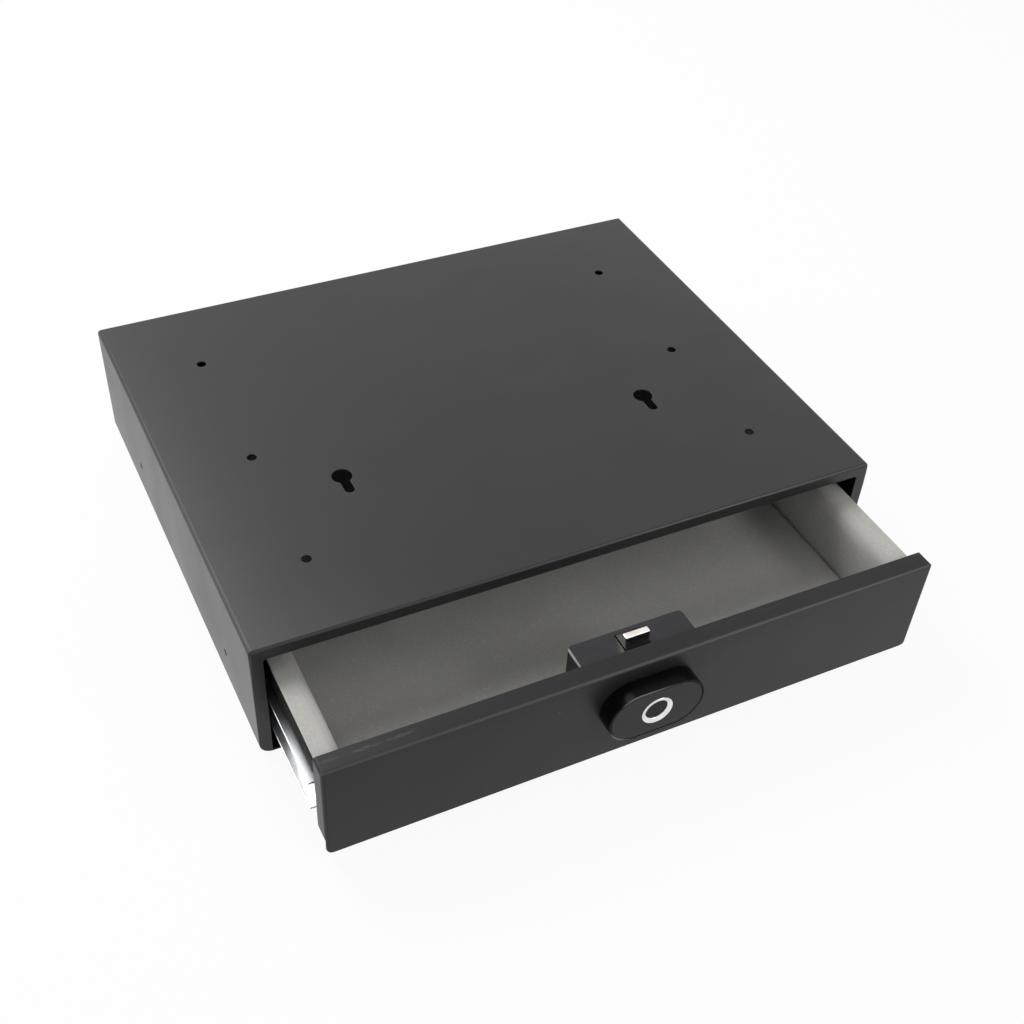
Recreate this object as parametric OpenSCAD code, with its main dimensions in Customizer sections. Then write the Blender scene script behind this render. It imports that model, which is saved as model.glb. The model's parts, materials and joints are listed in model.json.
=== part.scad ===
// Under desk drawer safe: a folded steel case that hangs below a desk top by its keyholes or screws,
// and a felt lined drawer on ball bearing slides, locked by a fingerprint reader and a sprung bolt.
// Origin: centre of the case's underside. X runs to the right, Y from the front to the back, Z up.

/* [Case] */
// Outside width of the case
case_w = 400; // [380:1:460]
// Outside depth of the case, front to back
case_d = 317; // [310:1:360]
// Outside height of the case
case_h = 84; // [83:1:100]
// Thickness of the folded sheet steel
sheet_t = 1.2; // [1:0.1:1.5]
// Outside radius of the bends along the top edges
top_bend_r = 2.4; // [1.8:0.1:4]
// Outside radius of the bends along the bottom edges
bottom_bend_r = 8; // [5:0.5:10]
// Width of the turned-in front edge at each side
side_return_w = 7.5; // [5:0.1:7.8]
// Height of the turned-down front edge under the top
top_return_h = 8; // [5:0.1:8.4]
// Radius in the corners of the front opening
opening_r = 2; // [1:0.1:4]
// Width of the turned-in flange under each side
bottom_flange_w = 30; // [24:1:40]

/* [Fixing holes in the top] */
// Diameter of the six screw holes
screw_hole_d = 6; // [4:0.1:8]
// Distance between the left and the right row of holes
hole_row_w = 295.2; // [260:0.1:320]
// Distance from the front edge to the front pair of holes
front_hole_inset = 55.9; // [50:0.1:70]
// Distance from the front edge to the middle pair of holes
middle_hole_inset = 152; // [140:0.1:170]
// Distance from the front edge to the rear pair of holes
rear_hole_inset = 254.8; // [240:0.1:280]
// Distance between the two keyholes
keyhole_row_w = 207.8; // [180:0.1:240]
// Diameter of a keyhole's round end
keyhole_head_d = 12.5; // [10:0.1:14]
// Width of a keyhole's slot
keyhole_slot_w = 6; // [4:0.1:8]
// Distance from the front edge to the middle of a keyhole's round end
keyhole_inset = 115; // [100:0.1:130]
// Distance from the middle of the round end to the end of the slot's centre line
keyhole_travel = 13; // [10:0.1:16]

/* [Slides] */
// Space between the slide and the case's rear edge
slide_room = 47; // [40:1:60]
// Height of the slide's case member
slide_h = 35; // [33:0.5:40]
// Thickness of the whole slide
slide_w = 12.7; // [12.7:0.1:13.5]
// Thickness of the slide's steel
slide_t = 1.2; // [1:0.1:1.4]
// Height of the slide's middle line above the case's underside
slide_z = 30; // [28:0.5:32]
// Distance from the case's front edge to the slide
slide_inset = 20; // [18:0.5:24]
// Distance from each end of the slide to its screw
slide_hole_inset = 35; // [30:0.5:40]
// Diameter of the bearing balls
ball_d = 4.75; // [4:0.05:5]
// Number of balls in each row
ball_count = 6; // [4:1:6]
// Length of each ball cage: the drawer's travel is about the slide's length less this
cage_l = 70; // [68:1:80]
// How far the drawer stands open as drawn
drawer_open = 80; // [0:1:150]

/* [Drawer] */
// Thickness of the drawer's steel
pan_t = 1.2; // [1:0.1:1.4]
// Height of the drawer's underside above the case's underside
pan_z = 12.6; // [10:0.1:14]
// Height of the drawer's walls
pan_h = 50.2; // [46:0.1:53]
// Clearance between the slide and the drawer's rim above it
rim_clear = 1.9; // [1:0.1:3]
// Thickness of the felt covered foam on the walls
lining_t = 12.8; // [8:0.1:15]
// Thickness of the felt covered foam on the floor
floor_lining_t = 10.4; // [5:0.1:12]
// Rounding of the lining's inner top edge
lining_r = 7; // [4:0.5:8]
// Height of the lining's top edge above the drawer's wall
lining_rise = 1.4; // [1:0.1:2]

/* [Front panel] */
// Gap between the front panel and the case's opening at each side
fascia_side_gap = 2.3; // [1.6:0.1:3.5]
// Height of the front panel
fascia_h = 68.4; // [66:0.1:69]
// Height of its lower edge above the case's underside
fascia_z = 3.4; // [2.8:0.1:5]
// Thickness of its steel
fascia_t = 1.2; // [1:0.1:1.4]
// Depth of the turned-back edges
fascia_flange = 12.3; // [8:0.1:12.5]
// Height of the pull lip below the side edges
lip_h = 11.6; // [8:0.1:14]
// Outside radius of its bends
fascia_bend_r = 2; // [1.6:0.1:3]
// Radius of its bottom corners
lip_r = 4.5; // [2:0.5:8]

/* [Lock housing] */
// Width of the housing
housing_w = 73.6; // [72:0.1:80]
// Distance from the front panel's face to the housing's back
housing_d = 31.3; // [30:0.1:33]
// Height of the housing's top above the case's underside
housing_top = 67.5; // [66.5:0.1:67.7]
// Wall thickness of the housing
housing_wall = 2; // [1.6:0.1:2.2]
// Rounding of its upright rear corners
housing_corner_r = 3.5; // [3:0.5:6]
// Rounding of its top edges
housing_edge_r = 1.2; // [0.5:0.1:3]

/* [Bolt and strike] */
// Width of the bolt
bolt_w = 15.6; // [12:0.1:17]
// Distance from the front panel's face to the bolt's locking face
bolt_front = 16.3; // [16:0.1:17]
// Depth of the bolt, front to back
bolt_d = 11.9; // [11.5:0.1:12]
// How far the bolt stands out of the housing
bolt_rise = 8.3; // [6.5:0.1:8.4]
// Width of the flat on top of the bolt
bolt_flat = 3.6; // [2:0.1:5]
// How far the locking face leans back over its height
bolt_lean = 1.2; // [0:0.1:2]
// How far the bolt draws in
bolt_travel = 6.5; // [6:0.1:7]
// Diameter of the plunger under the bolt
plunger_d = 5; // [4:0.1:5.2]
// Width of the strike
strike_w = 50; // [30:1:80]
// Thickness of the strike
strike_t = 2.5; // [2:0.1:2.5]
// How far the strike overlaps the bolt
strike_bite = 4.7; // [4:0.1:5]

/* [Fingerprint reader] */
// Width of the reader
reader_w = 60.3; // [54:0.1:70]
// Height of the reader
reader_h = 36; // [32:0.1:40]
// How far the reader stands out of the front panel
reader_rise = 11.3; // [10:0.1:16]
// Height of its middle above the case's underside
reader_z = 42.7; // [40:0.1:44]
// Width of the rim round its cover
reader_rim = 1.2; // [0.8:0.1:2]
// Outside diameter of the bright ring
ring_d = 19.6; // [18:0.1:22]
// Inside diameter of the bright ring
ring_bore_d = 13.6; // [12:0.1:15]

/* [Hidden] */
$fn = 64;

// Colours
coat_colour = "#3c3c3e";
panel_colour = "#434345";
zinc_colour = "#c4c6c8";
felt_colour = "#a9a9a5";
plastic_colour = "#1c1c1e";
bright_colour = "#d8d8d6";
rubber_colour = "#202022";
copper_colour = "#b06a3a";
board_colour = "#1d5a36";

// Clearances and overruns
cut = 1;
weld_gap = 0.1;
seam_gap = 0.3;
soft_gap = 0.3;
slip_gap = 0.3;

// Places that many pieces share
front_y = -case_d / 2;
rear_y = case_d / 2;
slide_l = case_d - slide_inset - slide_room;
fascia_w = case_w - 2 * side_return_w - 2 * fascia_side_gap;
side_in = case_w / 2 - sheet_t;
pan_w = case_w - 2 * sheet_t - 2 * slide_w;
pan_half = pan_w / 2;
pan_in = pan_half - pan_t;
bumper_l = 8;
bumper_d = 10;
bumper_inset = 60;
bumper_x = case_w / 2 - bumper_inset;
pan_front = front_y + fascia_t;
pan_rear = rear_y - sheet_t - bumper_l - slip_gap;
pan_d = pan_rear - pan_front;
pan_floor = pan_z + pan_t;
pan_top = pan_z + pan_h;
rim_gap = 0.9;
rim_z = slide_z + slide_h / 2 + rim_clear;
rim_half = fascia_w / 2 - fascia_t - rim_gap;
rim_in = rim_half - pan_t;

// Base and rear panels
joggle_w = 2;
base_lap = 18;
base_edge = case_w / 2 - bottom_flange_w;
rear_flange = 12;
rear_relief = 4;

// Fixing holes: distance of each pair from the front edge
hole_insets = [front_hole_inset, middle_hole_inset, rear_hole_inset];

// Strike
strike_gap = 0.4;
strike_y = front_y + bolt_front - strike_gap - strike_t;
strike_leg = 26;

// Screws of the slides: a pan head with a cross recess
slide_screw_d = 4;
slide_screw_head_d = 7;
slide_screw_head_h = 2.2;
screw_play = 0.3;
case_screw_l = slide_t + sheet_t - weld_gap;
drawer_screw_l = slide_t + pan_t;
recess_share = 0.6;
recess_w_share = 0.16;
recess_depth_share = 0.5;
slide_hole_ys = [slide_inset + slide_hole_inset, slide_inset + slide_l - slide_hole_inset];

// Slide sections, as distances from the case's side towards the middle
ball_gap = 0.15;
case_lip_w = 1;
case_lip_h = 1.2;
case_member_gap = 1.4;
case_member_w = slide_w - case_member_gap;
raceway_z = slide_h / 2 - slide_t;
drawer_member_h = 2 * (raceway_z - ball_d - 2 * ball_gap);
return_gap = 0.9;
drawer_member_w = slide_w + sheet_t - side_return_w - return_gap;
ball_z = drawer_member_h / 2 + ball_gap + ball_d / 2;
ball_x = case_w / 2 - sheet_t - case_member_w + case_lip_w + ball_d / 2;
ball_play = 0.3;
cage_t = 0.8;
cage_inset = 4;
cage_end = 5;
ball_pitch = (cage_l - 2 * cage_end) / (ball_count - 1);
cage_flange_w = side_in - cage_inset - ball_x + ball_d / 2 - ball_gap;

// Nuts and studs that hold the front panel
stud_d = 4;
stud_l = 4.9;
nut_af = 7;
nut_h = 3.2;
stud_drop = 19;
stud_z = pan_top - stud_drop;
stud_shares = [-0.875, -0.35, 0.35, 0.875];
stud_xs = stud_shares * (pan_in - lining_t - 2 * soft_gap);

// Lock housing inside
housing_front = front_y + fascia_t;
housing_rear = front_y + housing_d;
housing_in = housing_w / 2 - housing_wall;
housing_floor = pan_floor + housing_wall;
housing_roof = housing_top - housing_wall;
notch_gap = 0.6;
boss_d = 7;
boss_h = 8;
boss_inset = 7;
boss_y = housing_front + boss_inset;
boss_shares = [-0.8, 0.09];
boss_xs = boss_shares * housing_in;
housing_screw_d = 3;
housing_screw_l = 7;
housing_screw_head_d = 6;
housing_screw_head_h = 2;

// Bolt, spring, plunger and solenoid
bolt_y = front_y + bolt_front;
bolt_rear = bolt_y + bolt_d;
bolt_depth = 21.5;
bolt_base = housing_top - bolt_depth;
bolt_top = housing_top + bolt_rise;
plunger_inset = 4.4;
plunger_y = bolt_y + plunger_inset;
plunger_drop = 20;
plunger_end = bolt_base - plunger_drop;
plunger_bore_depth = 9;
plunger_grip = plunger_bore_depth - slip_gap;
pin_d = 2;
pin_rise = 5;
pin_z = bolt_base + pin_rise;
pin_gap = 0.05;
frame_w = 17;
frame_d = 12;
frame_t = 1.5;
spring_room = 12;
frame_top = bolt_base - spring_room;
coil_d = 11.8;
spring_d = 8.6;
wire_d = 0.8;
spring_turns = 6;
spring_steps = 16;
spring_sides = 8;

// Batteries: four cells of the common 44.5 by 10.5 mm size, upright beside the bolt
cell_d = 10.5;
cell_l = 44.5;
nub_d = 3.8;
nub_h = 0.8;
cell_gap = 0.3;
holder_t = 1;
holder_trim = 1;
holder_x = housing_in - slip_gap - 2 * cell_d - 2 * cell_gap - holder_t;
cell_xs = [holder_x + holder_t + cell_gap + cell_d / 2, holder_x + holder_t + 2 * cell_gap + 1.5 * cell_d];
cell_ys = [housing_rear - housing_wall - slip_gap - 1.5 * cell_d - 2 * cell_gap,
    housing_rear - housing_wall - slip_gap - 0.5 * cell_d - cell_gap];
contact_t = 0.4;
holder_bottom = housing_floor + slip_gap;
cell_z = holder_bottom + holder_t + 2 * contact_t + nub_h / 2;
contact_d = 6;
holder_top = cell_z + cell_l + contact_t + cell_gap + holder_t;
cover_rim = 2;
cover_lap = 0.8;
cover_gap = 0.2;
cover_x0 = holder_x + cover_rim;
cover_x1 = housing_w / 2 - housing_corner_r - cover_lap;
cover_z0 = holder_bottom + cover_rim;
cover_z1 = holder_top - cover_rim;
cover_t = 1.2;
catch_w = 8;
catch_d = 1;

// Circuit board and what is on it
board_t = 1.6;
board_x0 = -housing_in + slip_gap;
board_w = 21;
board_inset = 7.5;
board_y = housing_rear - housing_wall - board_inset;
board_rise = 5;
board_z0 = housing_floor + board_rise;
board_drop = 2.7;
board_h = housing_roof - board_drop - board_z0;
post_d = 5;
board_screw_d = 2.2;
board_screw_l = 6;
board_screw_head_d = 4;
board_screw_head_h = 1.4;
board_post_inset = 3;
chip_w = 9;
chip_t = 1.2;
socket_w = 9;
socket_h = 4;
socket_d = 3;
capacitor_d = 5;
capacitor_h = 5.2;
switch_w = 6;
button_d = 5.6;
button_rise = 1;
button_travel = 1;
button_flange_d = 8.4;
button_flange_t = 1;
button_x = board_x0 + board_w / 2;
button_up = 30;
button_z = board_z0 + button_up;
button_stem = 2.1;

// Reader
reader_cover_t = 1.5;
reader_wall = 2.4;
reader_floor = 1.6;
reader_front = front_y - reader_rise;
cover_seam = 0.15;
ring_h = 2.6;
ring_proud = 0.3;
ring_bevel = 0.3;
ring_land = 1.4;
ring_slope = 1.1;
window_t = 1;
module_d = 17.6;
module_h = 4.4;
ribbon_w = 6;
ribbon_t = 0.4;
ribbon_hole_d = 14;
ribbon_inset = 1.8;
ribbon_x = board_x0 + board_w - ribbon_inset;
reader_screw_inset = 8.15;
reader_screw_x = reader_w / 2 - reader_screw_inset;
reader_screw_d = 3;
reader_screw_l = 6;
reader_screw_head_d = 5.4;
reader_screw_head_h = 1.6;
reader_boss_d = 7;

// A flat outline pushed along one axis from a starting place
module along_x(start, length) {
    translate([start, 0, 0]) rotate([90, 0, 90]) linear_extrude(height = length) children();
}

module along_y(start, length) {
    translate([0, start + length, 0]) rotate([90, 0, 0]) linear_extrude(height = length) children();
}

module along_z(start, length) {
    translate([0, 0, start]) linear_extrude(height = length) children();
}

// A rectangle between two corners with one radius for its low corners and one for its high corners
module round_rect(low, high, r_low, r_high) {
    polygon([
        [low.x + r_low, low.y], [high.x - r_low, low.y],
        [high.x, low.y + r_low], [high.x, high.y - r_high],
        [high.x - r_high, high.y], [low.x + r_high, high.y],
        [low.x, high.y - r_high], [low.x, low.y + r_low]]);
    if (r_low > 0)
        for (x = [low.x + r_low, high.x - r_low]) translate([x, low.y + r_low]) circle(r = r_low);
    if (r_high > 0)
        for (x = [low.x + r_high, high.x - r_high]) translate([x, high.y - r_high]) circle(r = r_high);
}

// A block between two corners
module block(low, high) {
    translate(low) cube(high - low);
}

// A rectangle between two corners
module plate(low, high) {
    translate(low) square(high - low);
}

// The drawer's pieces are drawn shut and moved to where the drawer stands, and the cages move half as far
module on_drawer() {
    translate([0, -drawer_open, 0]) children();
}

module on_cage() {
    translate([0, -drawer_open / 2, 0]) children();
}

// A piece drawn for the right side, or its mirror image
module on_side(side) {
    mirror([side < 0 ? 1 : 0, 0, 0]) children();
}

// A screw whose head rests on z = 0 and whose shank points down
module pan_screw(shank_d, shank_l, head_d, head_h) {
    difference() {
        union() {
            translate([0, 0, -shank_l]) cylinder(d = shank_d, h = shank_l + head_h / 2);
            cylinder(d1 = head_d, d2 = head_d * (1 - recess_w_share), h = head_h);
        }
        for (turn = [0, 90]) rotate(turn) {
            reach = head_d * recess_share;
            slot = head_d * recess_w_share;
            translate([-reach / 2, -slot / 2, head_h * (1 - recess_depth_share)])
                cube([reach, slot, head_h]);
        }
    }
}

// Case
module case_outline(inset) {
    round_rect([-case_w / 2 + inset, inset], [case_w / 2 - inset, case_h - inset],
        bottom_bend_r - inset, top_bend_r - inset);
}

module front_opening() {
    half = case_w / 2 - side_return_w;
    round_rect([-half, -cut], [half, case_h - top_return_h], 0, opening_r);
}

module keyhole() {
    circle(d = keyhole_head_d);
    plate([-keyhole_slot_w / 2, -keyhole_travel], [keyhole_slot_w / 2, 0]);
    translate([0, -keyhole_travel]) circle(d = keyhole_slot_w);
}

module top_openings() {
    along_z(case_h - sheet_t - cut, sheet_t + 2 * cut) for (side = [-1, 1]) {
        for (inset = hole_insets)
            translate([side * hole_row_w / 2, front_y + inset]) circle(d = screw_hole_d);
        translate([side * keyhole_row_w / 2, front_y + keyhole_inset]) keyhole();
    }
}

// The two holes at one side's slide screws, from the middle of one wall outwards
module slide_holes(start, length) {
    for (y = slide_hole_ys)
        translate([start, front_y + y, slide_z]) rotate([0, 90, 0])
            cylinder(d = slide_screw_d + screw_play, h = length);
}

module case_shell() {
    color(coat_colour) difference() {
        union() {
            along_y(front_y, case_d) difference() {
                case_outline(0);
                case_outline(sheet_t);
                plate([-base_edge, -cut], [base_edge, sheet_t + cut]);
            }
            along_y(front_y, sheet_t) difference() {
                case_outline(0);
                front_opening();
            }
        }
        top_openings();
        for (side = [-1, 1]) on_side(side) slide_holes(side_in - cut, sheet_t + 2 * cut);
    }
}

module base_panel() {
    step = base_edge - seam_gap;
    flat = step - joggle_w;
    edge = base_edge + base_lap;
    color(coat_colour) along_y(front_y, case_d) polygon([
        [-edge, sheet_t], [-step, sheet_t], [-flat, 0], [flat, 0], [step, sheet_t], [edge, sheet_t],
        [edge, 2 * sheet_t], [step, 2 * sheet_t], [flat, sheet_t], [-flat, sheet_t], [-step, 2 * sheet_t],
        [-edge, 2 * sheet_t]]);
}

module rear_panel() {
    inset = sheet_t + weld_gap;
    low = 2 * sheet_t + weld_gap;
    tongue = base_edge - seam_gap - joggle_w - weld_gap;
    half = case_w / 2 - inset;
    top = case_h - inset;
    start = rear_y - rear_flange;
    end = rear_y - sheet_t / 2;
    color(coat_colour) {
        along_y(rear_y - sheet_t, sheet_t) {
            intersection() {
                case_outline(inset);
                plate([-case_w, low], [case_w, case_h]);
            }
            plate([-tongue, inset], [tongue, low + sheet_t]);
        }
        block([-half + rear_relief, start, top - sheet_t], [half - rear_relief, end, top]);
        for (side = [-1, 1]) on_side(side)
            block([half - sheet_t, start, bottom_bend_r + rear_relief], [half, end, top - rear_relief]);
    }
}

module strike_bracket() {
    top = case_h - sheet_t;
    color(zinc_colour) along_x(-strike_w / 2, strike_w) {
        plate([strike_y, bolt_top - strike_bite], [strike_y + strike_t, top]);
        plate([strike_y, top - strike_t], [strike_y + strike_leg, top]);
    }
}

module drawer_bumpers() {
    color(rubber_colour) for (side = [-1, 1])
        translate([side * bumper_x, rear_y - sheet_t, slide_z]) rotate([90, 0, 0])
            cylinder(d = bumper_d, h = bumper_l);
}

// Slides
module slide_case_member(side) {
    web = side_in;
    tip = side_in - case_member_w;
    color(zinc_colour) on_side(side) difference() {
        along_y(front_y + slide_inset, slide_l) translate([0, slide_z]) {
            difference() {
                plate([tip, -slide_h / 2], [web, slide_h / 2]);
                plate([tip - cut, -raceway_z], [web - slide_t, raceway_z]);
            }
            plate([tip, raceway_z - case_lip_h], [tip + case_lip_w, raceway_z]);
            plate([tip, -raceway_z], [tip + case_lip_w, case_lip_h - raceway_z]);
        }
        slide_holes(web - slide_t - cut, slide_t + 2 * cut);
    }
}

module slide_drawer_member(side) {
    half = drawer_member_h / 2;
    color(zinc_colour) on_drawer() on_side(side) difference() {
        along_y(front_y + slide_inset, slide_l) translate([0, slide_z]) difference() {
            plate([pan_half, -half], [pan_half + drawer_member_w, half]);
            plate([pan_half + slide_t, slide_t - half], [pan_half + drawer_member_w + cut, half - slide_t]);
        }
        slide_holes(pan_half - cut, slide_t + 2 * cut);
    }
}

module at_balls() {
    for (i = [0 : ball_count - 1], up = [-1, 1])
        translate([ball_x, front_y + slide_inset + slide_l / 2 + (i - (ball_count - 1) / 2) * ball_pitch,
            slide_z + up * ball_z]) children();
}

module ball_cage(side) {
    web = side_in - cage_inset;
    half = ball_z + cage_t / 2;
    color(zinc_colour) on_cage() on_side(side) difference() {
        along_y(front_y + slide_inset + (slide_l - cage_l) / 2, cage_l)
            translate([0, slide_z]) difference() {
                plate([web - cage_flange_w, -half], [web, half]);
                plate([web - cage_flange_w - cut, cage_t - half], [web - cage_t, half - cage_t]);
            }
        at_balls() translate([0, 0, -cage_t]) cylinder(d = ball_d + ball_play, h = 2 * cage_t);
    }
}

module balls(side) {
    color(bright_colour) on_cage() on_side(side) at_balls() sphere(d = ball_d, $fn = 32);
}

module case_slide_screws() {
    color(zinc_colour) for (side = [-1, 1], y = slide_hole_ys) on_side(side)
        translate([side_in - slide_t, front_y + y, slide_z]) rotate([0, -90, 0])
            pan_screw(slide_screw_d, case_screw_l, slide_screw_head_d, slide_screw_head_h);
}

module drawer_slide_screws() {
    color(zinc_colour) on_drawer() for (side = [-1, 1], y = slide_hole_ys) on_side(side)
        translate([pan_half + slide_t, front_y + y, slide_z]) rotate([0, 90, 0])
            pan_screw(slide_screw_d, drawer_screw_l, slide_screw_head_d, slide_screw_head_h);
}

// Drawer: its side walls step outwards above the slides
module drawer_pan() {
    inner = housing_w / 2 + notch_gap / 2;
    color(coat_colour) on_drawer() difference() {
        union() {
            block([-pan_half, pan_front, pan_z], [pan_half, pan_rear, rim_z + pan_t]);
            block([-rim_half, pan_front, rim_z], [rim_half, pan_rear, pan_top]);
        }
        block([-pan_in, pan_front + pan_t, pan_floor], [pan_in, pan_rear - pan_t, rim_z + 2 * pan_t]);
        block([-rim_in, pan_front + pan_t, rim_z + pan_t], [rim_in, pan_rear - pan_t, pan_top + cut]);
        block([-inner, pan_front - cut, pan_floor], [inner, pan_front + pan_t + cut, pan_top + cut]);
        for (side = [-1, 1]) on_side(side) slide_holes(pan_in - cut, pan_t + 2 * cut);
        for (x = stud_xs) translate([x, pan_front - cut, stud_z]) rotate([-90, 0, 0])
            cylinder(d = stud_d + screw_play, h = pan_t + 2 * cut);
        for (x = boss_xs) translate([x, boss_y, pan_z - cut])
            cylinder(d = housing_screw_d + screw_play, h = pan_t + 2 * cut);
    }
}

// The front panel's outside, or its inside when it is drawn smaller by the thickness and open to the back
module fascia_form(inset, back) {
    half = fascia_w / 2 - inset;
    top = fascia_z + fascia_h - inset;
    bend = fascia_bend_r - inset;
    low = fascia_z - (inset > 0 ? cut : 0);
    intersection() {
        along_x(-half, 2 * half) difference() {
            plate([front_y + inset, low], [back, top]);
            difference() {
                plate([front_y + inset - cut, top - bend], [front_y + inset + bend, top + cut]);
                translate([front_y + inset + bend, top - bend]) circle(r = bend);
            }
        }
        along_z(low - cut, top - low + 2 * cut)
            round_rect([-half, front_y + inset], [half, back], bend, 0);
        along_y(front_y - cut, back - front_y + 2 * cut)
            round_rect([-half, low], [half, top], inset > 0 ? 0 : lip_r, bend);
    }
}

module front_panel() {
    back = front_y + fascia_flange;
    color(panel_colour) on_drawer() union() {
        difference() {
            fascia_form(0, back);
            fascia_form(fascia_t, back + cut);
            block([-case_w / 2, front_y + fascia_t, fascia_z - cut],
                [case_w / 2, back + cut, fascia_z + lip_h]);
            translate([0, front_y - cut, reader_z]) rotate([-90, 0, 0])
                cylinder(d = ribbon_hole_d, h = fascia_t + 2 * cut);
            for (side = [-1, 1])
                translate([side * reader_screw_x, front_y - cut, reader_z]) rotate([-90, 0, 0])
                    cylinder(d = reader_screw_d + screw_play, h = fascia_t + 2 * cut);
        }
        for (x = stud_xs) translate([x, front_y + fascia_t / 2, stud_z]) rotate([-90, 0, 0])
            cylinder(d = stud_d, h = stud_l + fascia_t / 2);
    }
}

module front_panel_nuts() {
    color(zinc_colour) on_drawer() for (x = stud_xs)
        translate([x, pan_front + pan_t, stud_z]) rotate([-90, 0, 0]) difference() {
            cylinder(d = nut_af / cos(30), h = nut_h, $fn = 6);
            translate([0, 0, -cut]) cylinder(d = stud_d + pin_gap, h = nut_h + 2 * cut);
        }
}

// Felt covered foam: the side linings follow the wall's step and cover its top edge
module lining_section(low, high) {
    difference() {
        plate(low, high);
        difference() {
            plate([high.x - lining_r, high.y - lining_r], [high.x + cut, high.y + cut]);
            translate([high.x - lining_r, high.y - lining_r]) circle(r = lining_r);
        }
    }
}

module side_lining(side) {
    top = pan_top + lining_rise;
    inner = -pan_in + soft_gap + lining_t;
    color(felt_colour) on_drawer() mirror([side > 0 ? 1 : 0, 0, 0])
        along_y(pan_front + pan_t + soft_gap, pan_d - 2 * pan_t - 2 * soft_gap) {
            lining_section([-pan_in + soft_gap, pan_floor + soft_gap], [inner, top]);
            plate([-rim_in + soft_gap, rim_z + pan_t + soft_gap], [inner - lining_r, top]);
            plate([-rim_half, pan_top + soft_gap], [inner - lining_r, top]);
        }
}

module rear_lining() {
    half = pan_in - lining_t - 2 * soft_gap;
    back = pan_rear - pan_t - soft_gap;
    color(felt_colour) on_drawer() along_x(-half, 2 * half) mirror([1, 0])
        lining_section([-back, pan_floor + soft_gap], [-back + lining_t, pan_top + lining_rise]);
}

module floor_lining() {
    half = pan_in - lining_t - 2 * soft_gap;
    front = pan_front + pan_t + soft_gap;
    back = pan_rear - pan_t - lining_t - 2 * soft_gap;
    notch = housing_w / 2 + notch_gap;
    color(felt_colour) on_drawer() along_z(pan_floor + soft_gap, floor_lining_t) difference() {
        plate([-half, front], [half, back]);
        plate([-notch, front - cut], [notch, housing_rear + notch_gap]);
    }
}

// Lock housing
module housing_form(inset, front) {
    half = housing_w / 2 - inset;
    intersection() {
        along_z(pan_floor + inset, housing_top - pan_floor - 2 * inset)
            round_rect([-half, front], [half, housing_rear - inset], 0, housing_corner_r - inset);
        along_y(front - cut, housing_rear - front + 2 * cut)
            round_rect([-half, pan_floor + inset], [half, housing_top - inset],
                0, max(housing_edge_r - inset, 0));
    }
}

module lock_housing() {
    wall_in = housing_rear - housing_wall;
    color(plastic_colour) on_drawer() difference() {
        union() {
            difference() {
                housing_form(0, housing_front);
                housing_form(housing_wall, housing_front - cut);
            }
            for (x = boss_xs) translate([x, boss_y, housing_floor - weld_gap])
                cylinder(d = boss_d, h = boss_h + weld_gap);
            at_board_posts() translate([0, board_y + board_t, 0]) rotate([-90, 0, 0])
                cylinder(d = post_d, h = wall_in - board_y - board_t + weld_gap);
        }
        block([-bolt_w / 2 - slip_gap, bolt_y - slip_gap, bolt_base - bolt_travel - slip_gap],
            [bolt_w / 2 + slip_gap, bolt_rear + slip_gap, housing_top + cut]);
        block([cover_x0, wall_in - cut, cover_z0], [cover_x1, housing_rear + cut, cover_z1]);
        along_y(housing_rear - cover_t, cover_t + cut) cover_outline(cover_lap);
        translate([button_x, wall_in - cut, button_z]) rotate([-90, 0, 0])
            cylinder(d = button_d + 2 * slip_gap, h = housing_wall + 2 * cut);
        at_board_posts() translate([0, board_y, 0]) rotate([-90, 0, 0])
            cylinder(d = board_screw_d, h = board_screw_l);
        for (x = boss_xs) translate([x, boss_y, pan_floor - cut])
            cylinder(d = housing_screw_d, h = boss_h + cut);
    }
}

// The battery cover's outline, wider than its opening by the lap
module cover_outline(lap) {
    plate([cover_x0 - lap, cover_z0 - lap], [cover_x1 + lap, cover_z1 + lap]);
}

// A snap-in cover: its plate lies in the recess, and its thicker middle reaches through the opening
module battery_cover() {
    middle = (cover_x0 + cover_x1) / 2;
    inner = housing_rear - housing_wall;
    color(plastic_colour) on_drawer() difference() {
        union() {
            along_y(housing_rear - cover_t, cover_t) cover_outline(cover_lap - cover_gap);
            block([cover_x0 + cover_gap, inner, cover_z0 + cover_gap],
                [cover_x1 - cover_gap, housing_rear - cover_t / 2, cover_z1 - cover_gap]);
        }
        block([middle - catch_w / 2, housing_rear - catch_d, cover_z1 - catch_w / 2],
            [middle + catch_w / 2, housing_rear + cut, cover_z1 + cover_lap + cut]);
    }
}

module housing_screws() {
    color(zinc_colour) on_drawer() for (x = boss_xs) translate([x, boss_y, pan_z]) rotate([180, 0, 0])
        pan_screw(housing_screw_d, housing_screw_l, housing_screw_head_d, housing_screw_head_h);
}

module battery_holder() {
    x1 = housing_in - slip_gap;
    color(plastic_colour) on_drawer()
        along_y(cell_ys[0] - cell_d / 2, cell_ys[1] - cell_ys[0] + cell_d - holder_trim) difference() {
            plate([holder_x, holder_bottom], [x1, holder_top]);
            plate([holder_x + holder_t, holder_bottom + holder_t], [x1 + cut, holder_top - holder_t]);
        }
}

module at_cells() {
    for (i = [0, 1], j = [0, 1]) translate([cell_xs[i], cell_ys[j], cell_z]) {
        $flip = (i + j) % 2;
        children();
    }
}

module batteries() {
    color(copper_colour) on_drawer() at_cells()
        translate([0, 0, $flip * cell_l]) mirror([0, 0, $flip]) union() {
            cylinder(d = cell_d, h = cell_l - nub_h);
            cylinder(d = nub_d, h = cell_l);
        }
}

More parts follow.
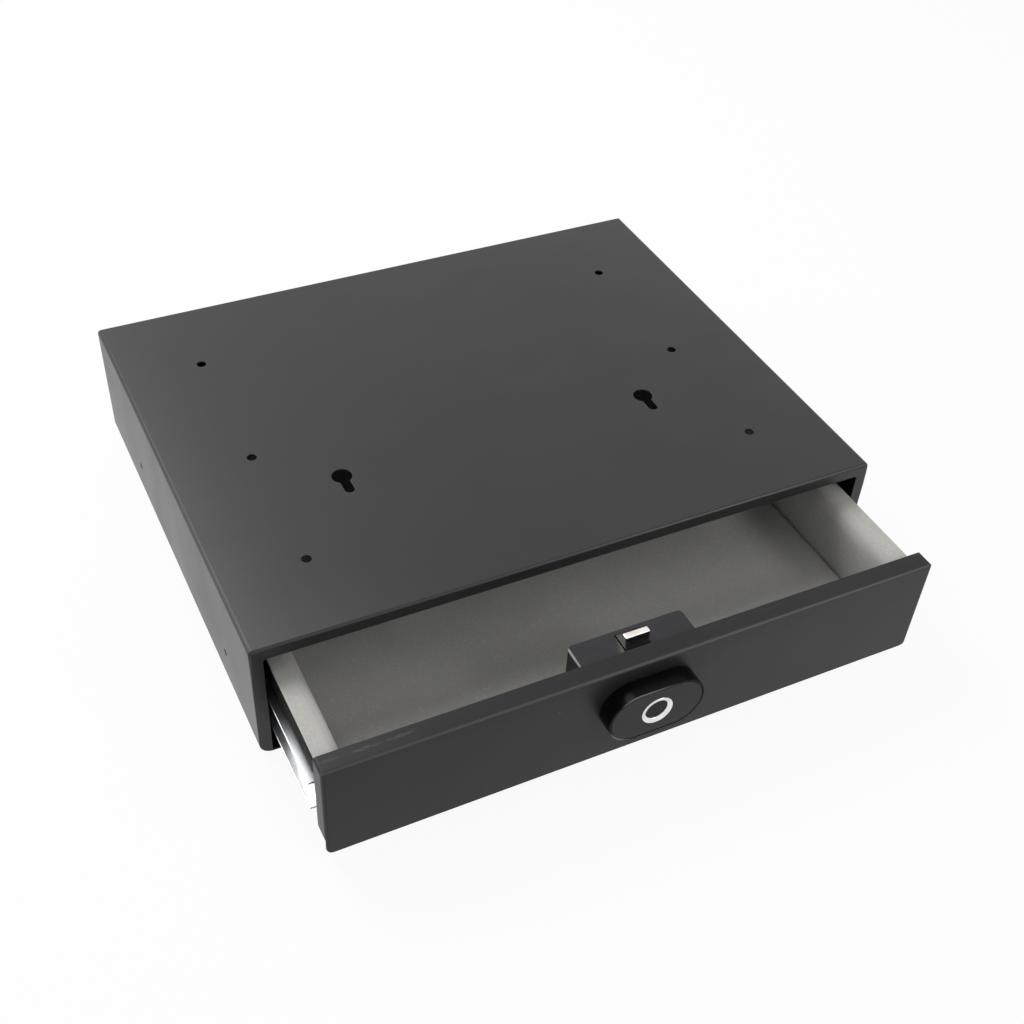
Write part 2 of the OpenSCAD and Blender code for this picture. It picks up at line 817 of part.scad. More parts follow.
module battery_contacts() {
    color(bright_colour) on_drawer() at_cells() {
        translate([0, 0, -cell_z + holder_bottom + holder_t]) {
            cylinder(d = cell_d - 2 * cell_gap, h = contact_t);
            cylinder(d = contact_d, h = cell_z - holder_bottom - holder_t);
        }
        translate([0, 0, cell_l]) cylinder(d = contact_d, h = contact_t + cell_gap);
    }
}

// Circuit board
module at_board_posts() {
    inset = board_post_inset;
    translate([board_x0 + inset, 0, board_z0 + inset]) children();
    translate([board_x0 + board_w - inset, 0, board_z0 + board_h - inset]) children();
}

module circuit_board() {
    color(board_colour) on_drawer() difference() {
        block([board_x0, board_y, board_z0], [board_x0 + board_w, board_y + board_t, board_z0 + board_h]);
        at_board_posts() translate([0, board_y - cut, 0]) rotate([-90, 0, 0])
            cylinder(d = board_screw_d + screw_play, h = board_t + 2 * cut);
    }
}

module board_components() {
    switch_l = button_seat() - button_travel - slip_gap - board_t;
    middle = board_x0 + board_w / 2;
    color(plastic_colour) on_drawer() {
        translate([button_x - switch_w / 2, board_y + board_t, button_z - switch_w / 2])
            cube([switch_w, switch_l, switch_w]);
        translate([middle - chip_w / 2, board_y - chip_t, board_z0 + chip_w])
            cube([chip_w, chip_t, chip_w]);
        translate([ribbon_x - socket_w + ribbon_w / 2, board_y - socket_d, reader_z - socket_h])
            cube([socket_w, socket_d, 2 * socket_h]);
        for (x = [middle - capacitor_d, middle + capacitor_d])
            translate([x, board_y + board_t, board_z0 + 2 * chip_w]) rotate([-90, 0, 0])
                cylinder(d = capacitor_d, h = capacitor_h);
    }
}

module board_screws() {
    color(zinc_colour) on_drawer() at_board_posts() translate([0, board_y, 0]) rotate([90, 0, 0])
        pan_screw(board_screw_d, board_screw_l - slip_gap, board_screw_head_d, board_screw_head_h);
}

// The button passes through the housing's back, held by its inner flange. Its seat is where its stem ends
function button_seat() = housing_rear - housing_wall - slip_gap - button_flange_t - button_stem - board_y;

module set_button() {
    inner = housing_rear - housing_wall - slip_gap;
    color(plastic_colour) on_drawer() translate([button_x, 0, button_z]) {
        translate([0, inner - button_flange_t, 0]) rotate([-90, 0, 0])
            cylinder(d = button_d, h = button_flange_t + slip_gap + housing_wall + button_rise);
        translate([0, inner - button_flange_t, 0]) rotate([-90, 0, 0])
            cylinder(d = button_flange_d, h = button_flange_t);
        translate([0, board_y + button_seat(), 0]) rotate([-90, 0, 0])
            cylinder(d = button_d / 2, h = button_stem + button_flange_t);
    }
}

// Solenoid, spring and bolt
module solenoid_frame() {
    low = housing_floor;
    color(zinc_colour) on_drawer() difference() {
        along_y(plunger_y - frame_d / 2, frame_d) difference() {
            plate([-frame_w / 2, low], [frame_w / 2, frame_top]);
            plate([frame_t - frame_w / 2, low + frame_t], [frame_w / 2 - frame_t, frame_top - frame_t]);
        }
        translate([0, plunger_y, frame_top - frame_t - cut])
            cylinder(d = plunger_d + 2 * slip_gap, h = frame_t + 2 * cut);
    }
}

module solenoid_coil() {
    low = housing_floor + frame_t;
    h = frame_top - frame_t - low;
    color(copper_colour) on_drawer() translate([0, plunger_y, low]) difference() {
        cylinder(d = coil_d, h = h);
        translate([0, 0, frame_t]) cylinder(d = plunger_d + 2 * slip_gap, h = h);
    }
}

module latch_bolt() {
    slope_z = housing_top;
    shoulder = bolt_y + bolt_lean + bolt_flat;
    color(bright_colour) on_drawer() difference() {
        along_x(-bolt_w / 2, bolt_w) polygon([
            [bolt_y, bolt_base], [bolt_rear, bolt_base], [bolt_rear, slope_z], [shoulder, bolt_top],
            [bolt_y + bolt_lean, bolt_top], [bolt_y, slope_z]]);
        translate([0, plunger_y, bolt_base - cut])
            cylinder(d = plunger_d + 2 * pin_gap, h = plunger_bore_depth + cut);
        translate([-bolt_w / 2 - cut, plunger_y, pin_z]) rotate([0, 90, 0])
            cylinder(d = pin_d + 2 * pin_gap, h = bolt_w + 2 * cut);
    }
}

module plunger() {
    color(zinc_colour) on_drawer() translate([0, plunger_y, 0]) difference() {
        translate([0, 0, plunger_end]) cylinder(d = plunger_d, h = bolt_base - plunger_end + plunger_grip);
        translate([-plunger_d, 0, pin_z]) rotate([0, 90, 0])
            cylinder(d = pin_d + 2 * pin_gap, h = 2 * plunger_d);
    }
}

module plunger_pin() {
    color(bright_colour) on_drawer()
        translate([-bolt_w / 2 + slip_gap, plunger_y, pin_z]) rotate([0, 90, 0])
            cylinder(d = pin_d, h = bolt_w - 2 * slip_gap);
}

// A coil spring: rings of points along a helix, joined by triangles and closed by a cap at each end
module helix(coil_d, wire_d, length, turns) {
    steps = turns * spring_steps;
    rise = length - wire_d;
    points = [for (i = [0 : steps], j = [0 : spring_sides - 1])
        let (a = 360 * i / spring_steps, b = 360 * j / spring_sides,
            r = (coil_d - wire_d) / 2 + wire_d / 2 * cos(b))
            [r * cos(a), r * sin(a), wire_d / 2 + rise * i / steps + wire_d / 2 * sin(b)]];
    faces = [for (i = [0 : steps - 1], j = [0 : spring_sides - 1], half = [0, 1])
        let (k = (j + 1) % spring_sides, a = i * spring_sides + j, b = i * spring_sides + k,
            c = a + spring_sides, d = b + spring_sides)
            half == 0 ? [a, b, d] : [a, d, c]];
    start = [for (j = [spring_sides - 2 : -1 : 1]) [0, j + 1, j]];
    last = steps * spring_sides;
    end = [for (j = [1 : spring_sides - 2]) [last, last + j, last + j + 1]];
    polyhedron(points, concat(faces, start, end));
}

module latch_spring() {
    color(bright_colour) on_drawer() translate([0, plunger_y, frame_top + slip_gap])
        helix(spring_d, wire_d, bolt_base - frame_top - 2 * slip_gap, spring_turns);
}

// Fingerprint reader
module stadium(inset) {
    h = reader_h - 2 * inset;
    run = reader_w - reader_h;
    plate([-run / 2, -h / 2], [run / 2, h / 2]);
    for (side = [-1, 1]) translate([side * run / 2, 0]) circle(d = h);
}

module at_reader(start, length) {
    along_y(start, length) translate([0, reader_z]) children();
}

module reader_body() {
    floor_front = front_y - reader_floor;
    color(plastic_colour) on_drawer() difference() {
        union() {
            difference() {
                at_reader(reader_front, reader_rise) stadium(0);
                at_reader(reader_front - cut, reader_cover_t + cut) stadium(reader_rim);
                at_reader(reader_front, reader_rise - reader_floor) stadium(reader_wall);
            }
            for (side = [-1, 1]) translate([side * reader_screw_x, floor_front + weld_gap, reader_z])
                rotate([90, 0, 0])
                    cylinder(d = reader_boss_d, h = reader_screw_l - reader_floor + weld_gap);
        }
        translate([0, floor_front - cut, reader_z]) rotate([-90, 0, 0])
            cylinder(d = ribbon_hole_d, h = reader_floor + 2 * cut);
        for (side = [-1, 1]) translate([side * reader_screw_x, front_y + cut, reader_z]) rotate([90, 0, 0])
            cylinder(d = reader_screw_d, h = reader_screw_l - fascia_t + cut);
    }
}

module reader_cover() {
    color(plastic_colour) on_drawer() difference() {
        at_reader(reader_front, reader_cover_t) stadium(reader_rim + cover_seam);
        translate([0, reader_front - cut, reader_z]) rotate([-90, 0, 0])
            cylinder(d = ring_d + 2 * pin_gap, h = reader_cover_t + 2 * cut);
    }
}

module sensor_ring() {
    bore = ring_bore_d / 2;
    rim = ring_d / 2;
    color(bright_colour) on_drawer()
        translate([0, reader_front - ring_proud + ring_h, reader_z]) rotate([90, 0, 0])
            rotate_extrude() polygon([
                [bore, 0], [rim, 0], [rim, ring_h - ring_bevel], [rim - ring_bevel, ring_h],
                [rim - ring_bevel - ring_land, ring_h], [bore, ring_h - ring_slope]]);
}

module sensor_window() {
    start = reader_front - ring_proud + ring_slope + window_t / 2;
    color("#2c2a30") on_drawer() translate([0, start, reader_z]) rotate([-90, 0, 0])
        cylinder(d = ring_bore_d - 2 * pin_gap, h = reader_front - ring_proud + ring_h - start);
}

module sensor_module() {
    color(plastic_colour) on_drawer()
        translate([0, reader_front - ring_proud + ring_h, reader_z]) rotate([-90, 0, 0])
            cylinder(d = module_d, h = module_h);
}

module sensor_ribbon() {
    start = reader_front - ring_proud + ring_h + module_h;
    turn = housing_front + reader_screw_head_h + ribbon_w / 2;
    end = board_y - socket_d;
    half = ribbon_w / 2;
    color("#c9c2ae") on_drawer() along_z(reader_z - half, ribbon_w) {
        plate([-ribbon_t / 2, start], [ribbon_t / 2, turn]);
        plate([ribbon_x, turn - ribbon_t], [ribbon_t / 2, turn]);
        plate([ribbon_x, turn - ribbon_t], [ribbon_x + ribbon_t, end]);
    }
}

module reader_screws() {
    color(zinc_colour) on_drawer() for (side = [-1, 1])
        translate([side * reader_screw_x, front_y + fascia_t, reader_z]) rotate([-90, 0, 0])
            pan_screw(reader_screw_d, reader_screw_l - slip_gap, reader_screw_head_d, reader_screw_head_h);
}

case_shell();
base_panel();
rear_panel();
strike_bracket();
slide_case_member(-1);  // slide_case_member_left
slide_case_member(1);  // slide_case_member_right
case_slide_screws();
drawer_bumpers();
ball_cage(-1);  // ball_cage_left
ball_cage(1);  // ball_cage_right
balls(-1);  // balls_left
balls(1);  // balls_right
slide_drawer_member(-1);  // slide_drawer_member_left
slide_drawer_member(1);  // slide_drawer_member_right
drawer_slide_screws();
drawer_pan();
front_panel();
front_panel_nuts();
floor_lining();
side_lining(-1);  // side_lining_left
side_lining(1);  // side_lining_right
rear_lining();
lock_housing();
housing_screws();
battery_cover();
battery_holder();
battery_contacts();
batteries();
circuit_board();
board_components();
board_screws();
solenoid_frame();
solenoid_coil();
latch_spring();
latch_bolt();
plunger();
plunger_pin();
set_button();
reader_body();
reader_cover();
sensor_ring();
sensor_window();
sensor_module();
sensor_ribbon();
reader_screws();
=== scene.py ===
"""Under desk drawer safe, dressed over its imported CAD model.

Lengths are in millimetres unless a name says otherwise. X runs right, Y to the back and Z up.
"""
import json
import logging
import math
from dataclasses import dataclass
from enum import Enum
from typing import Callable, Iterable, NamedTuple, Sequence

import bmesh
import bpy
from mathutils import Matrix, Vector

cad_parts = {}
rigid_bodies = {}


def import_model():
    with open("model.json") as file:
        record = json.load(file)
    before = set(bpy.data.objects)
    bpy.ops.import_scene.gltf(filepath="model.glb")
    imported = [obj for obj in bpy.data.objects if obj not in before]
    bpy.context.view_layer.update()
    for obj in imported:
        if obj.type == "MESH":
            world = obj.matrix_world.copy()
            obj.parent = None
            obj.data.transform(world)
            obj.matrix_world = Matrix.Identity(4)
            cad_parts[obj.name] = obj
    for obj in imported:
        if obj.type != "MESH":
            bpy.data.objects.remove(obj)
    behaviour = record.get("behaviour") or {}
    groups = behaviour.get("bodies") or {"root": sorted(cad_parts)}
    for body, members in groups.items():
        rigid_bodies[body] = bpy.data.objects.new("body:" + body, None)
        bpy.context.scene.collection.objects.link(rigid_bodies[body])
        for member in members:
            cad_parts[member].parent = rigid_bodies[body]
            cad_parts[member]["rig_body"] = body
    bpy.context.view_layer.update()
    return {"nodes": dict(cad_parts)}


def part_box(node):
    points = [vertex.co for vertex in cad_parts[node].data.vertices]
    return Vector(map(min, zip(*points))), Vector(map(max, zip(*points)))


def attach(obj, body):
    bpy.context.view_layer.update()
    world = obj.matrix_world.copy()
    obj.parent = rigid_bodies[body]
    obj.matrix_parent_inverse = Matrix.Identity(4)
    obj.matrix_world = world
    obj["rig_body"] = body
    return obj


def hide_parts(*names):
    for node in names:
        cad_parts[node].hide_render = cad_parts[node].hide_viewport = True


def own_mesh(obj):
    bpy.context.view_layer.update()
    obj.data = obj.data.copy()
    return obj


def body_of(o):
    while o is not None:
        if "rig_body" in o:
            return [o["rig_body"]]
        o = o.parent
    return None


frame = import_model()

MM = 0.001
WHITE = (1.0, 1.0, 1.0, 1.0)
FOLD_SLACK = 0.02  # How far past a fold's box an edge may end and still count as in it
MERGE = 0.002  # Points of a CAD mesh that lie closer than this are one point
FLAT_DEG = 0.6  # Faces of a CAD mesh that meet at less than this many degrees are one face
FASTENER_DEG = 38.0  # Edges of a screw, nut or ball stay sharp from this angle on
log = logging.getLogger("drawer_safe")


class Body(Enum):
    """The bodies of the model, which move against each other."""

    CASE = "case"
    CAGE_LEFT = "cage_left"
    CAGE_RIGHT = "cage_right"
    DRAWER = "drawer"
    BOLT = "latch_bolt"
    BUTTON = "set_button"


class Slot(Enum):
    """The material slots of the record."""

    COAT = "coat"
    PANEL_COAT = "panel_coat"
    ZINC = "zinc"
    FELT = "felt"
    HOUSING = "housing_plastic"
    READER = "reader_plastic"
    NICKEL = "bright_nickel"
    GLASS = "sensor_glass"
    ELECTRONICS = "electronics"
    BOARD = "board_green"
    CELLS = "cell_wrap"
    COPPER = "copper_wire"
    RUBBER = "black_rubber"


def srgb(code: str) -> tuple[float, float, float, float]:
    """Turns a colour as a screen shows it into the shader's linear values.

    Args:
        code: Six hex digits, with or without a leading #.

    Returns:
        Red, green, blue and an alpha of 1.
    """
    digits = code.lstrip("#")
    shown = [int(digits[i : i + 2], 16) / 255 for i in (0, 2, 4)]
    linear = [c / 12.92 if c <= 0.04045 else ((c + 0.055) / 1.055) ** 2.4 for c in shown]
    return (linear[0], linear[1], linear[2], 1.0)


def add_node(
    tree: bpy.types.NodeTree,
    kind: str,
    inputs: dict | None = None,
    **settings: object,
) -> bpy.types.Node:
    """Adds one node to a tree.

    Args:
        tree: The shader or geometry tree.
        kind: The node's type.
        inputs: What each input gets, by its name or number: a socket, a list of them, or a value.
        **settings: The node's own settings.

    Returns:
        The new node.
    """
    node = tree.nodes.new(kind)
    for key, value in settings.items():
        setattr(node, key, value)
    for key, given in (inputs or {}).items():
        for one in given if isinstance(given, list) else [given]:
            if isinstance(one, bpy.types.NodeSocket):
                tree.links.new(one, node.inputs[key])
            else:
                node.inputs[key].default_value = one
    return node


class Corner(NamedTuple):
    """A corner of a box, in millimetres."""

    x: float
    y: float
    z: float


def in_mm(box: Iterable[Vector]) -> list[Corner]:
    """Gives a box's two corners in millimetres."""
    return [Corner(*(along / MM for along in corner)) for corner in box]


# Finishes: each one is named for what it is and built from patterns with real sizes


class Shading:
    """A material in the making: its tree, its shader, and object coordinates in millimetres."""

    def __init__(self, name: str) -> None:
        """Starts a material.

        Args:
            name: The material's name.
        """
        self.material = bpy.data.materials.new(name)
        self.material.use_nodes = True
        self.tree = self.material.node_tree
        self.shader = self.tree.nodes["Principled BSDF"]
        coords = add_node(self.tree, "ShaderNodeTexCoord")
        self.place = self.mapped(coords.outputs["Object"], (1 / MM, 1 / MM, 1 / MM))

    def mapped(
        self,
        source: bpy.types.NodeSocket,
        scale: Sequence[float],
        turn: Sequence[float] = (0, 0, 0),
        shift: Sequence[float] = (0, 0, 0),
    ) -> bpy.types.NodeSocket:
        """Scales, turns and shifts coordinates.

        Args:
            source: The coordinates.
            scale: One factor for each axis.
            turn: Angles round each axis, in radians.
            shift: What is added at the end.

        Returns:
            The mapped coordinates.
        """
        inputs = {"Scale": tuple(scale), "Rotation": tuple(turn), "Location": tuple(shift)}
        return add_node(self.tree, "ShaderNodeMapping", {"Vector": source, **inputs}).outputs[0]

    def near(self, centre: Sequence[float], reach: Sequence[float]) -> bpy.types.NodeSocket:
        """Fades out from the middle of an ellipsoid of space.

        Args:
            centre: Its middle.
            reach: How far it goes along each axis.

        Returns:
            A value of 1 in the middle and 0 from its edge outwards.
        """
        shift = [-c / r for c, r in zip(centre, reach)]
        place = self.mapped(self.place, [1 / r for r in reach], shift=shift)
        far = add_node(self.tree, "ShaderNodeVectorMath", {0: place}, operation="LENGTH").outputs[1]
        return self.spread(far, 0.3, 1.0, 1.0, 0.0)

    def noise(
        self, size: Sequence[float], detail: float = 2.0, turn: Sequence[float] = (0, 0, 0)
    ) -> bpy.types.NodeSocket:
        """Makes cloudy noise.

        Args:
            size: The length of its patches along each axis.
            detail: How much finer noise lies in it.
            turn: Angles round each axis, in radians.

        Returns:
            A value around 0.5.
        """
        place = self.mapped(self.place, [1 / s for s in size], turn)
        inputs = {"Vector": place, "Scale": 1.0, "Detail": detail}
        return add_node(self.tree, "ShaderNodeTexNoise", inputs).outputs[0]

    def spread(
        self, source: bpy.types.NodeSocket, low: float, high: float, to_low: float, to_high: float
    ) -> bpy.types.NodeSocket:
        """Maps a value from one range to another and holds it there.

        Args:
            source: The value.
            low: Where the first range starts.
            high: Where the first range ends.
            to_low: Where the second range starts.
            to_high: Where the second range ends.

        Returns:
            The mapped value.
        """
        inputs = dict(enumerate((source, low, high, to_low, to_high)))
        return add_node(self.tree, "ShaderNodeMapRange", inputs).outputs[0]

    def maths(self, operation: str, *values: bpy.types.NodeSocket | float) -> bpy.types.NodeSocket:
        """Works out one sum.

        Args:
            operation: What is done with the values.
            *values: Sockets or plain numbers.

        Returns:
            The result.
        """
        inputs = dict(enumerate(values))
        return add_node(self.tree, "ShaderNodeMath", inputs, operation=operation).outputs[0]

    def times(self, *values: bpy.types.NodeSocket | float) -> bpy.types.NodeSocket:
        """Multiplies two values."""
        return self.maths("MULTIPLY", *values)

    def blend(
        self,
        share: bpy.types.NodeSocket,
        first: bpy.types.NodeSocket | str,
        second: bpy.types.NodeSocket | str,
    ) -> bpy.types.NodeSocket:
        """Blends two colours.

        Args:
            share: How much of the second colour shows.
            first: A socket or a hex colour.
            second: A socket or a hex colour.

        Returns:
            The blended colour.
        """
        low, high = [srgb(c) if isinstance(c, str) else c for c in (first, second)]
        inputs = {0: share, 6: low, 7: high}
        return add_node(self.tree, "ShaderNodeMix", inputs, data_type="RGBA").outputs[2]

    def relief(self, *layers: tuple[bpy.types.NodeSocket, float]) -> None:
        """Gives the shader a bumpy surface.

        Args:
            *layers: Each layer's height pattern and its real depth.
        """
        inputs = {"Strength": 1.0}
        for height, depth in layers:
            inputs |= {"Height": height, "Distance": depth * MM}
            inputs["Normal"] = add_node(self.tree, "ShaderNodeBump", inputs).outputs[0]
        self.feed(Normal=inputs["Normal"])

    def feed(self, **sockets: bpy.types.NodeSocket) -> None:
        """Links patterns to the shader.

        Args:
            **sockets: The pattern for each of the shader's inputs, with _ for a space.
        """
        for key, source in sockets.items():
            self.tree.links.new(source, self.shader.inputs[key.replace("_", " ")])

    def fix(self, **values: float) -> None:
        """Sets plain values on the shader's own inputs.

        Args:
            **values: The value for each input, with _ for a space.
        """
        for key, value in values.items():
            self.shader.inputs[key.replace("_", " ")].default_value = value


@dataclass(frozen=True)
class Finish:
    """What all finishes share: a name for their material, and a way to make it."""

    name: str

    def make(self) -> bpy.types.Material:
        """Makes the material.

        Returns:
            The material.
        """
        raise NotImplementedError(self.name)


@dataclass(frozen=True)
class ScuffAndHighlight:
    """A place for a faint rub mark, and also for a painted highlight: the middle and the reach of
    the space that it lies in.
    """

    centre: tuple[float, float, float]
    reach: tuple[float, float, float]


@dataclass(frozen=True)
class PowderCoat(Finish):
    """Powder coat: a fine grain over faint clouds, with light streaks, a few scuffs and painted
    highlights along its bends.
    """

    dark: str
    light: str
    # Colour of the rubs and scuffs, and also of the painted highlights along the bends
    wear_and_highlight: str
    grain: float = 0.45
    grain_depth: float = 0.012
    cloud: float = 70.0
    rough_low: float = 0.32
    rough_high: float = 0.37
    streaks: float = 0.12
    shine: float = 0.4
    scuffs: tuple[ScuffAndHighlight, ...] = ()
    # Painted highlights along bends, where light would catch them
    painted_bend_highlights: tuple[ScuffAndHighlight, ...] = ()
    bend_highlight_share: float = 0.3

    def make(self) -> bpy.types.Material:
        """Makes the material.

        Returns:
            The material, which gives the eye an even charcoal skin, silvery at a grazing look.
        """
        s = Shading(self.name)
        # The grain is felt more than seen: it breaks up the highlights along the folds
        grain = s.noise([self.grain] * 3, 3.0)
        cloud = s.noise([self.cloud, self.cloud * 0.6, self.cloud], 4.0)
        base = s.blend(s.spread(cloud, 0.3, 0.7, 0, 1), self.dark, self.light)
        # Wide, thin patches where hands have polished the coat a little lighter
        rub_and_highlight = s.noise([26, 3, 26], 5.0, (0, 0, 0.5))
        patch = s.spread(s.noise([90, 90, 90], 2.0), 0.5, 0.72, 0, 1)
        worn_and_highlit = s.times(s.spread(rub_and_highlight, 0.6, 0.78, 0, self.streaks), patch)
        for scuff in self.scuffs:
            # Each scuff is a bundle of hair-fine scratches that run along the edge
            hairs = s.spread(s.noise([3.2, 0.4, 0.4], 5.0), 0.5, 0.7, 0.05, 0.6)
            along = s.times(s.near(scuff.centre, scuff.reach), hairs)
            worn_and_highlit = s.maths("MAXIMUM", worn_and_highlit, along)
        for bend_highlight in self.painted_bend_highlights:
            # Painted highlight: a paler line along each bend, standing in for the light that the
            # bend catches
            along = s.times(s.near(bend_highlight.centre, bend_highlight.reach), self.bend_highlight_share)
            worn_and_highlit = s.maths("MAXIMUM", worn_and_highlit, along)
        speck = s.spread(grain, 0.62, 0.8, 0, 0.2)
        # The paler colour shows the real rubs and scuffs and the painted bend highlights alike
        s.feed(Base_Color=s.blend(s.maths("MAXIMUM", worn_and_highlit, speck), base, self.wear_and_highlight))
        rough = s.spread(cloud, 0.3, 0.7, self.rough_high, self.rough_low)
        s.feed(Roughness=s.maths("SUBTRACT", rough, s.times(worn_and_highlit, 0.1)))
        s.relief((grain, self.grain_depth))
        s.fix(Specular_IOR_Level=self.shine)
        return s.material


@dataclass(frozen=True)
class ZincPlate(Finish):
    """Bright zinc plate: cool silver with fine rolling lines and slightly milky patches."""

    name: str = "Bright zinc plated steel"
    bright: str = "#e6e7e9"
    milky: str = "#dddee1"
    line: float = 0.18
    line_depth: float = 0.004
    patch: float = 24.0

    def make(self) -> bpy.types.Material:
        """Makes the material.

        Returns:
            The material, which gives the eye a bright cool metal with soft lengthwise glints.
        """
        s = Shading(self.name)
        # The lines run the way that the strip was rolled, along the slides
        lines = s.noise([self.line, 40, self.line], 2.0)
        patch = s.noise([self.patch] * 3, 1.0)
        s.feed(Base_Color=s.blend(s.spread(patch, 0.35, 0.65, 0, 1), self.bright, self.milky))
        s.feed(Roughness=s.spread(patch, 0.3, 0.7, 0.3, 0.35))
        s.relief((lines, self.line_depth))
        s.fix(Metallic=1.0)
        return s.material


@dataclass(frozen=True)
class FeltCloth(Finish):
    """Short grey felt: matted fibres of slightly different greys under a soft sheen."""

    name: str = "Short pile grey felt"
    dark: str = "#bebdb8"
    light: str = "#d8d7d2"
    fibre: float = 0.12
    fibre_l: float = 1.6
    fibre_depth: float = 0.05
    mottle: float = 1.8

    def make(self) -> bpy.types.Material:
        """Makes the material.

        Returns:
            The material, which gives the eye a dry, light absorbing cloth without any highlight.
        """
        s = Shading(self.name)
        thin, long = self.fibre, self.fibre_l
        # Three crossing directions of fibre read as matted felt, not as a weave
        layers = [
            s.noise([thin, long, long], 2.0, (0.3, 0.2, 0.5)),
            s.noise([long, thin, long], 2.0, (0.2, 0.5, -0.4)),
            s.noise([long, long, thin], 2.0, (0.6, -0.3, 0.2)),
        ]
        mat = s.maths("MAXIMUM", s.maths("MAXIMUM", layers[0], layers[1]), layers[2])
        near, far = s.noise([self.mottle] * 3, 3.0), s.noise([self.mottle * 9] * 3, 2.0)
        mottle = s.maths("ADD", near, far)
        fine = s.blend(s.spread(mat, 0.5, 0.75, 0, 1), self.dark, self.light)
        s.feed(Base_Color=s.blend(s.spread(mottle, 0.8, 1.2, 0, 0.45), fine, self.dark))
        s.relief((mat, self.fibre_depth))
        s.fix(Roughness=0.95, Specular_IOR_Level=0.15, Sheen_Weight=0.18, Sheen_Roughness=0.5)
        return s.material


@dataclass(frozen=True)
class MouldedPlastic(Finish):
    """Injection moulded black plastic with the fine spark-eroded grain of its tool, and painted
    highlights along chosen edges.
    """

    dark: str
    light: str
    grain: float = 0.3
    grain_depth: float = 0.01
    rough_low: float = 0.34
    rough_high: float = 0.46
    shine: float = 0.3
    # Colour of the painted highlights along chosen edges
    wear_and_highlight: str = "#8f8f92"
    painted_highlights: tuple[ScuffAndHighlight, ...] = ()

    def make(self) -> bpy.types.Material:
        """Makes the material.

        Returns:
            The material, which gives the eye a deep black body, its gloss soft or sharp.
        """
        s = Shading(self.name)
        grain = s.noise([self.grain] * 3, 3.0)
        # The clouds are flow marks: the plastic is a touch paler where it cooled last
        flow = s.noise([18, 18, 18], 3.0)
        base = s.blend(s.spread(flow, 0.3, 0.7, 0, 1), self.dark, self.light)
        for rub_and_highlight in self.painted_highlights:
            # Painted highlight: chosen edges are painted paler, standing in for the light that they
            # catch
            base = s.blend(s.near(rub_and_highlight.centre, rub_and_highlight.reach), base, self.wear_and_highlight)
        s.feed(Base_Color=base)
        s.feed(Roughness=s.spread(flow, 0.3, 0.7, self.rough_low, self.rough_high))
        s.relief((grain, self.grain_depth))
        s.fix(Specular_IOR_Level=self.shine)
        return s.material


@dataclass(frozen=True)
class BrightNickel(Finish):
    """Polished nickel or chrome: silver with hair-fine polishing marks."""

    name: str = "Polished nickel plate"
    bright: str = "#f3eee8"
    soft: str = "#e4ded7"
    hair: float = 0.09
    hair_depth: float = 0.0012

    def make(self) -> bpy.types.Material:
        """Makes the material.

        Returns:
            The material, which gives the eye a mirror that is only slightly veiled.
        """
        s = Shading(self.name)
        # The hairs lie across the piece, so that a lamp draws out into a short streak
        hair = s.noise([12, self.hair, self.hair], 2.0)
        patch = s.noise([7, 7, 7], 1.0)
        s.feed(Base_Color=s.blend(s.spread(patch, 0.3, 0.7, 0, 1), self.bright, self.soft))
        s.feed(Roughness=s.spread(patch, 0.3, 0.7, 0.12, 0.22))
        s.relief((hair, self.hair_depth))
        s.fix(Metallic=1.0)
        return s.material


@dataclass(frozen=True)
class SensorGlass(Finish):
    """Dark violet-grey sensor window: a fine grid of dots under clear coated glass."""

    name: str = "Coated sensor glass"
    ground: str = "#1a171c"
    dot: str = "#2f2a33"
    pitch: float = 0.75

    def make(self) -> bpy.types.Material:
        """Makes the material.

        Returns:
            The material, which gives the eye a dark violet-grey window with a faint diagonal grid.
        """
        s = Shading(self.name)
        # The dots are the sensor's cells as they show through the coated glass
        grid = s.mapped(s.place, [1 / self.pitch] * 3, (0, math.radians(45), 0))
        inputs = {"Vector": grid, "Scale": 1.0, "Randomness": 0.12}
        cells = add_node(s.tree, "ShaderNodeTexVoronoi", inputs)
        dots = s.spread(cells.outputs["Distance"], 0.25, 0.5, 1, 0)
        s.feed(Base_Color=s.blend(dots, self.ground, self.dot))
        s.feed(Roughness=s.spread(s.noise([6, 6, 6], 2.0), 0.3, 0.7, 0.3, 0.42))
        s.relief((dots, 0.006))
        s.fix(Specular_IOR_Level=0.08, Coat_Weight=0.08, Coat_Roughness=0.12)
        return s.material


@dataclass(frozen=True)
class BlackCoatAndShade(Finish):
    """Flat black from a bath, on the slides' screws and on the drawer's pan, kept near black as
    painted shade in the side holes and in the gap beside the drawer.
    """

    dark: str = "#0b0b0c"
    light: str = "#121213"
    grain: float = 0.6
    grain_depth: float = 0.01
    rough_low: float = 0.6
    rough_high: float = 0.75

    def make(self) -> bpy.types.Material:
        """Makes the material.

        Returns:
            The material, which gives the eye a flat black that stays dark as painted shade, even
            beside the bright slides.
        """
        s = Shading(self.name)
        # The bath leaves broad clouds of slightly different blacks over a fine tooth
        cloud = s.noise([14, 14, 14], 3.0)
        s.feed(Base_Color=s.blend(s.spread(cloud, 0.3, 0.7, 0, 1), self.dark, self.light))
        s.feed(Roughness=s.spread(cloud, 0.3, 0.7, self.rough_low, self.rough_high))
        s.relief((s.noise([self.grain] * 3, 3.0), self.grain_depth))
        s.fix(Specular_IOR_Level=0.06)
        return s.material


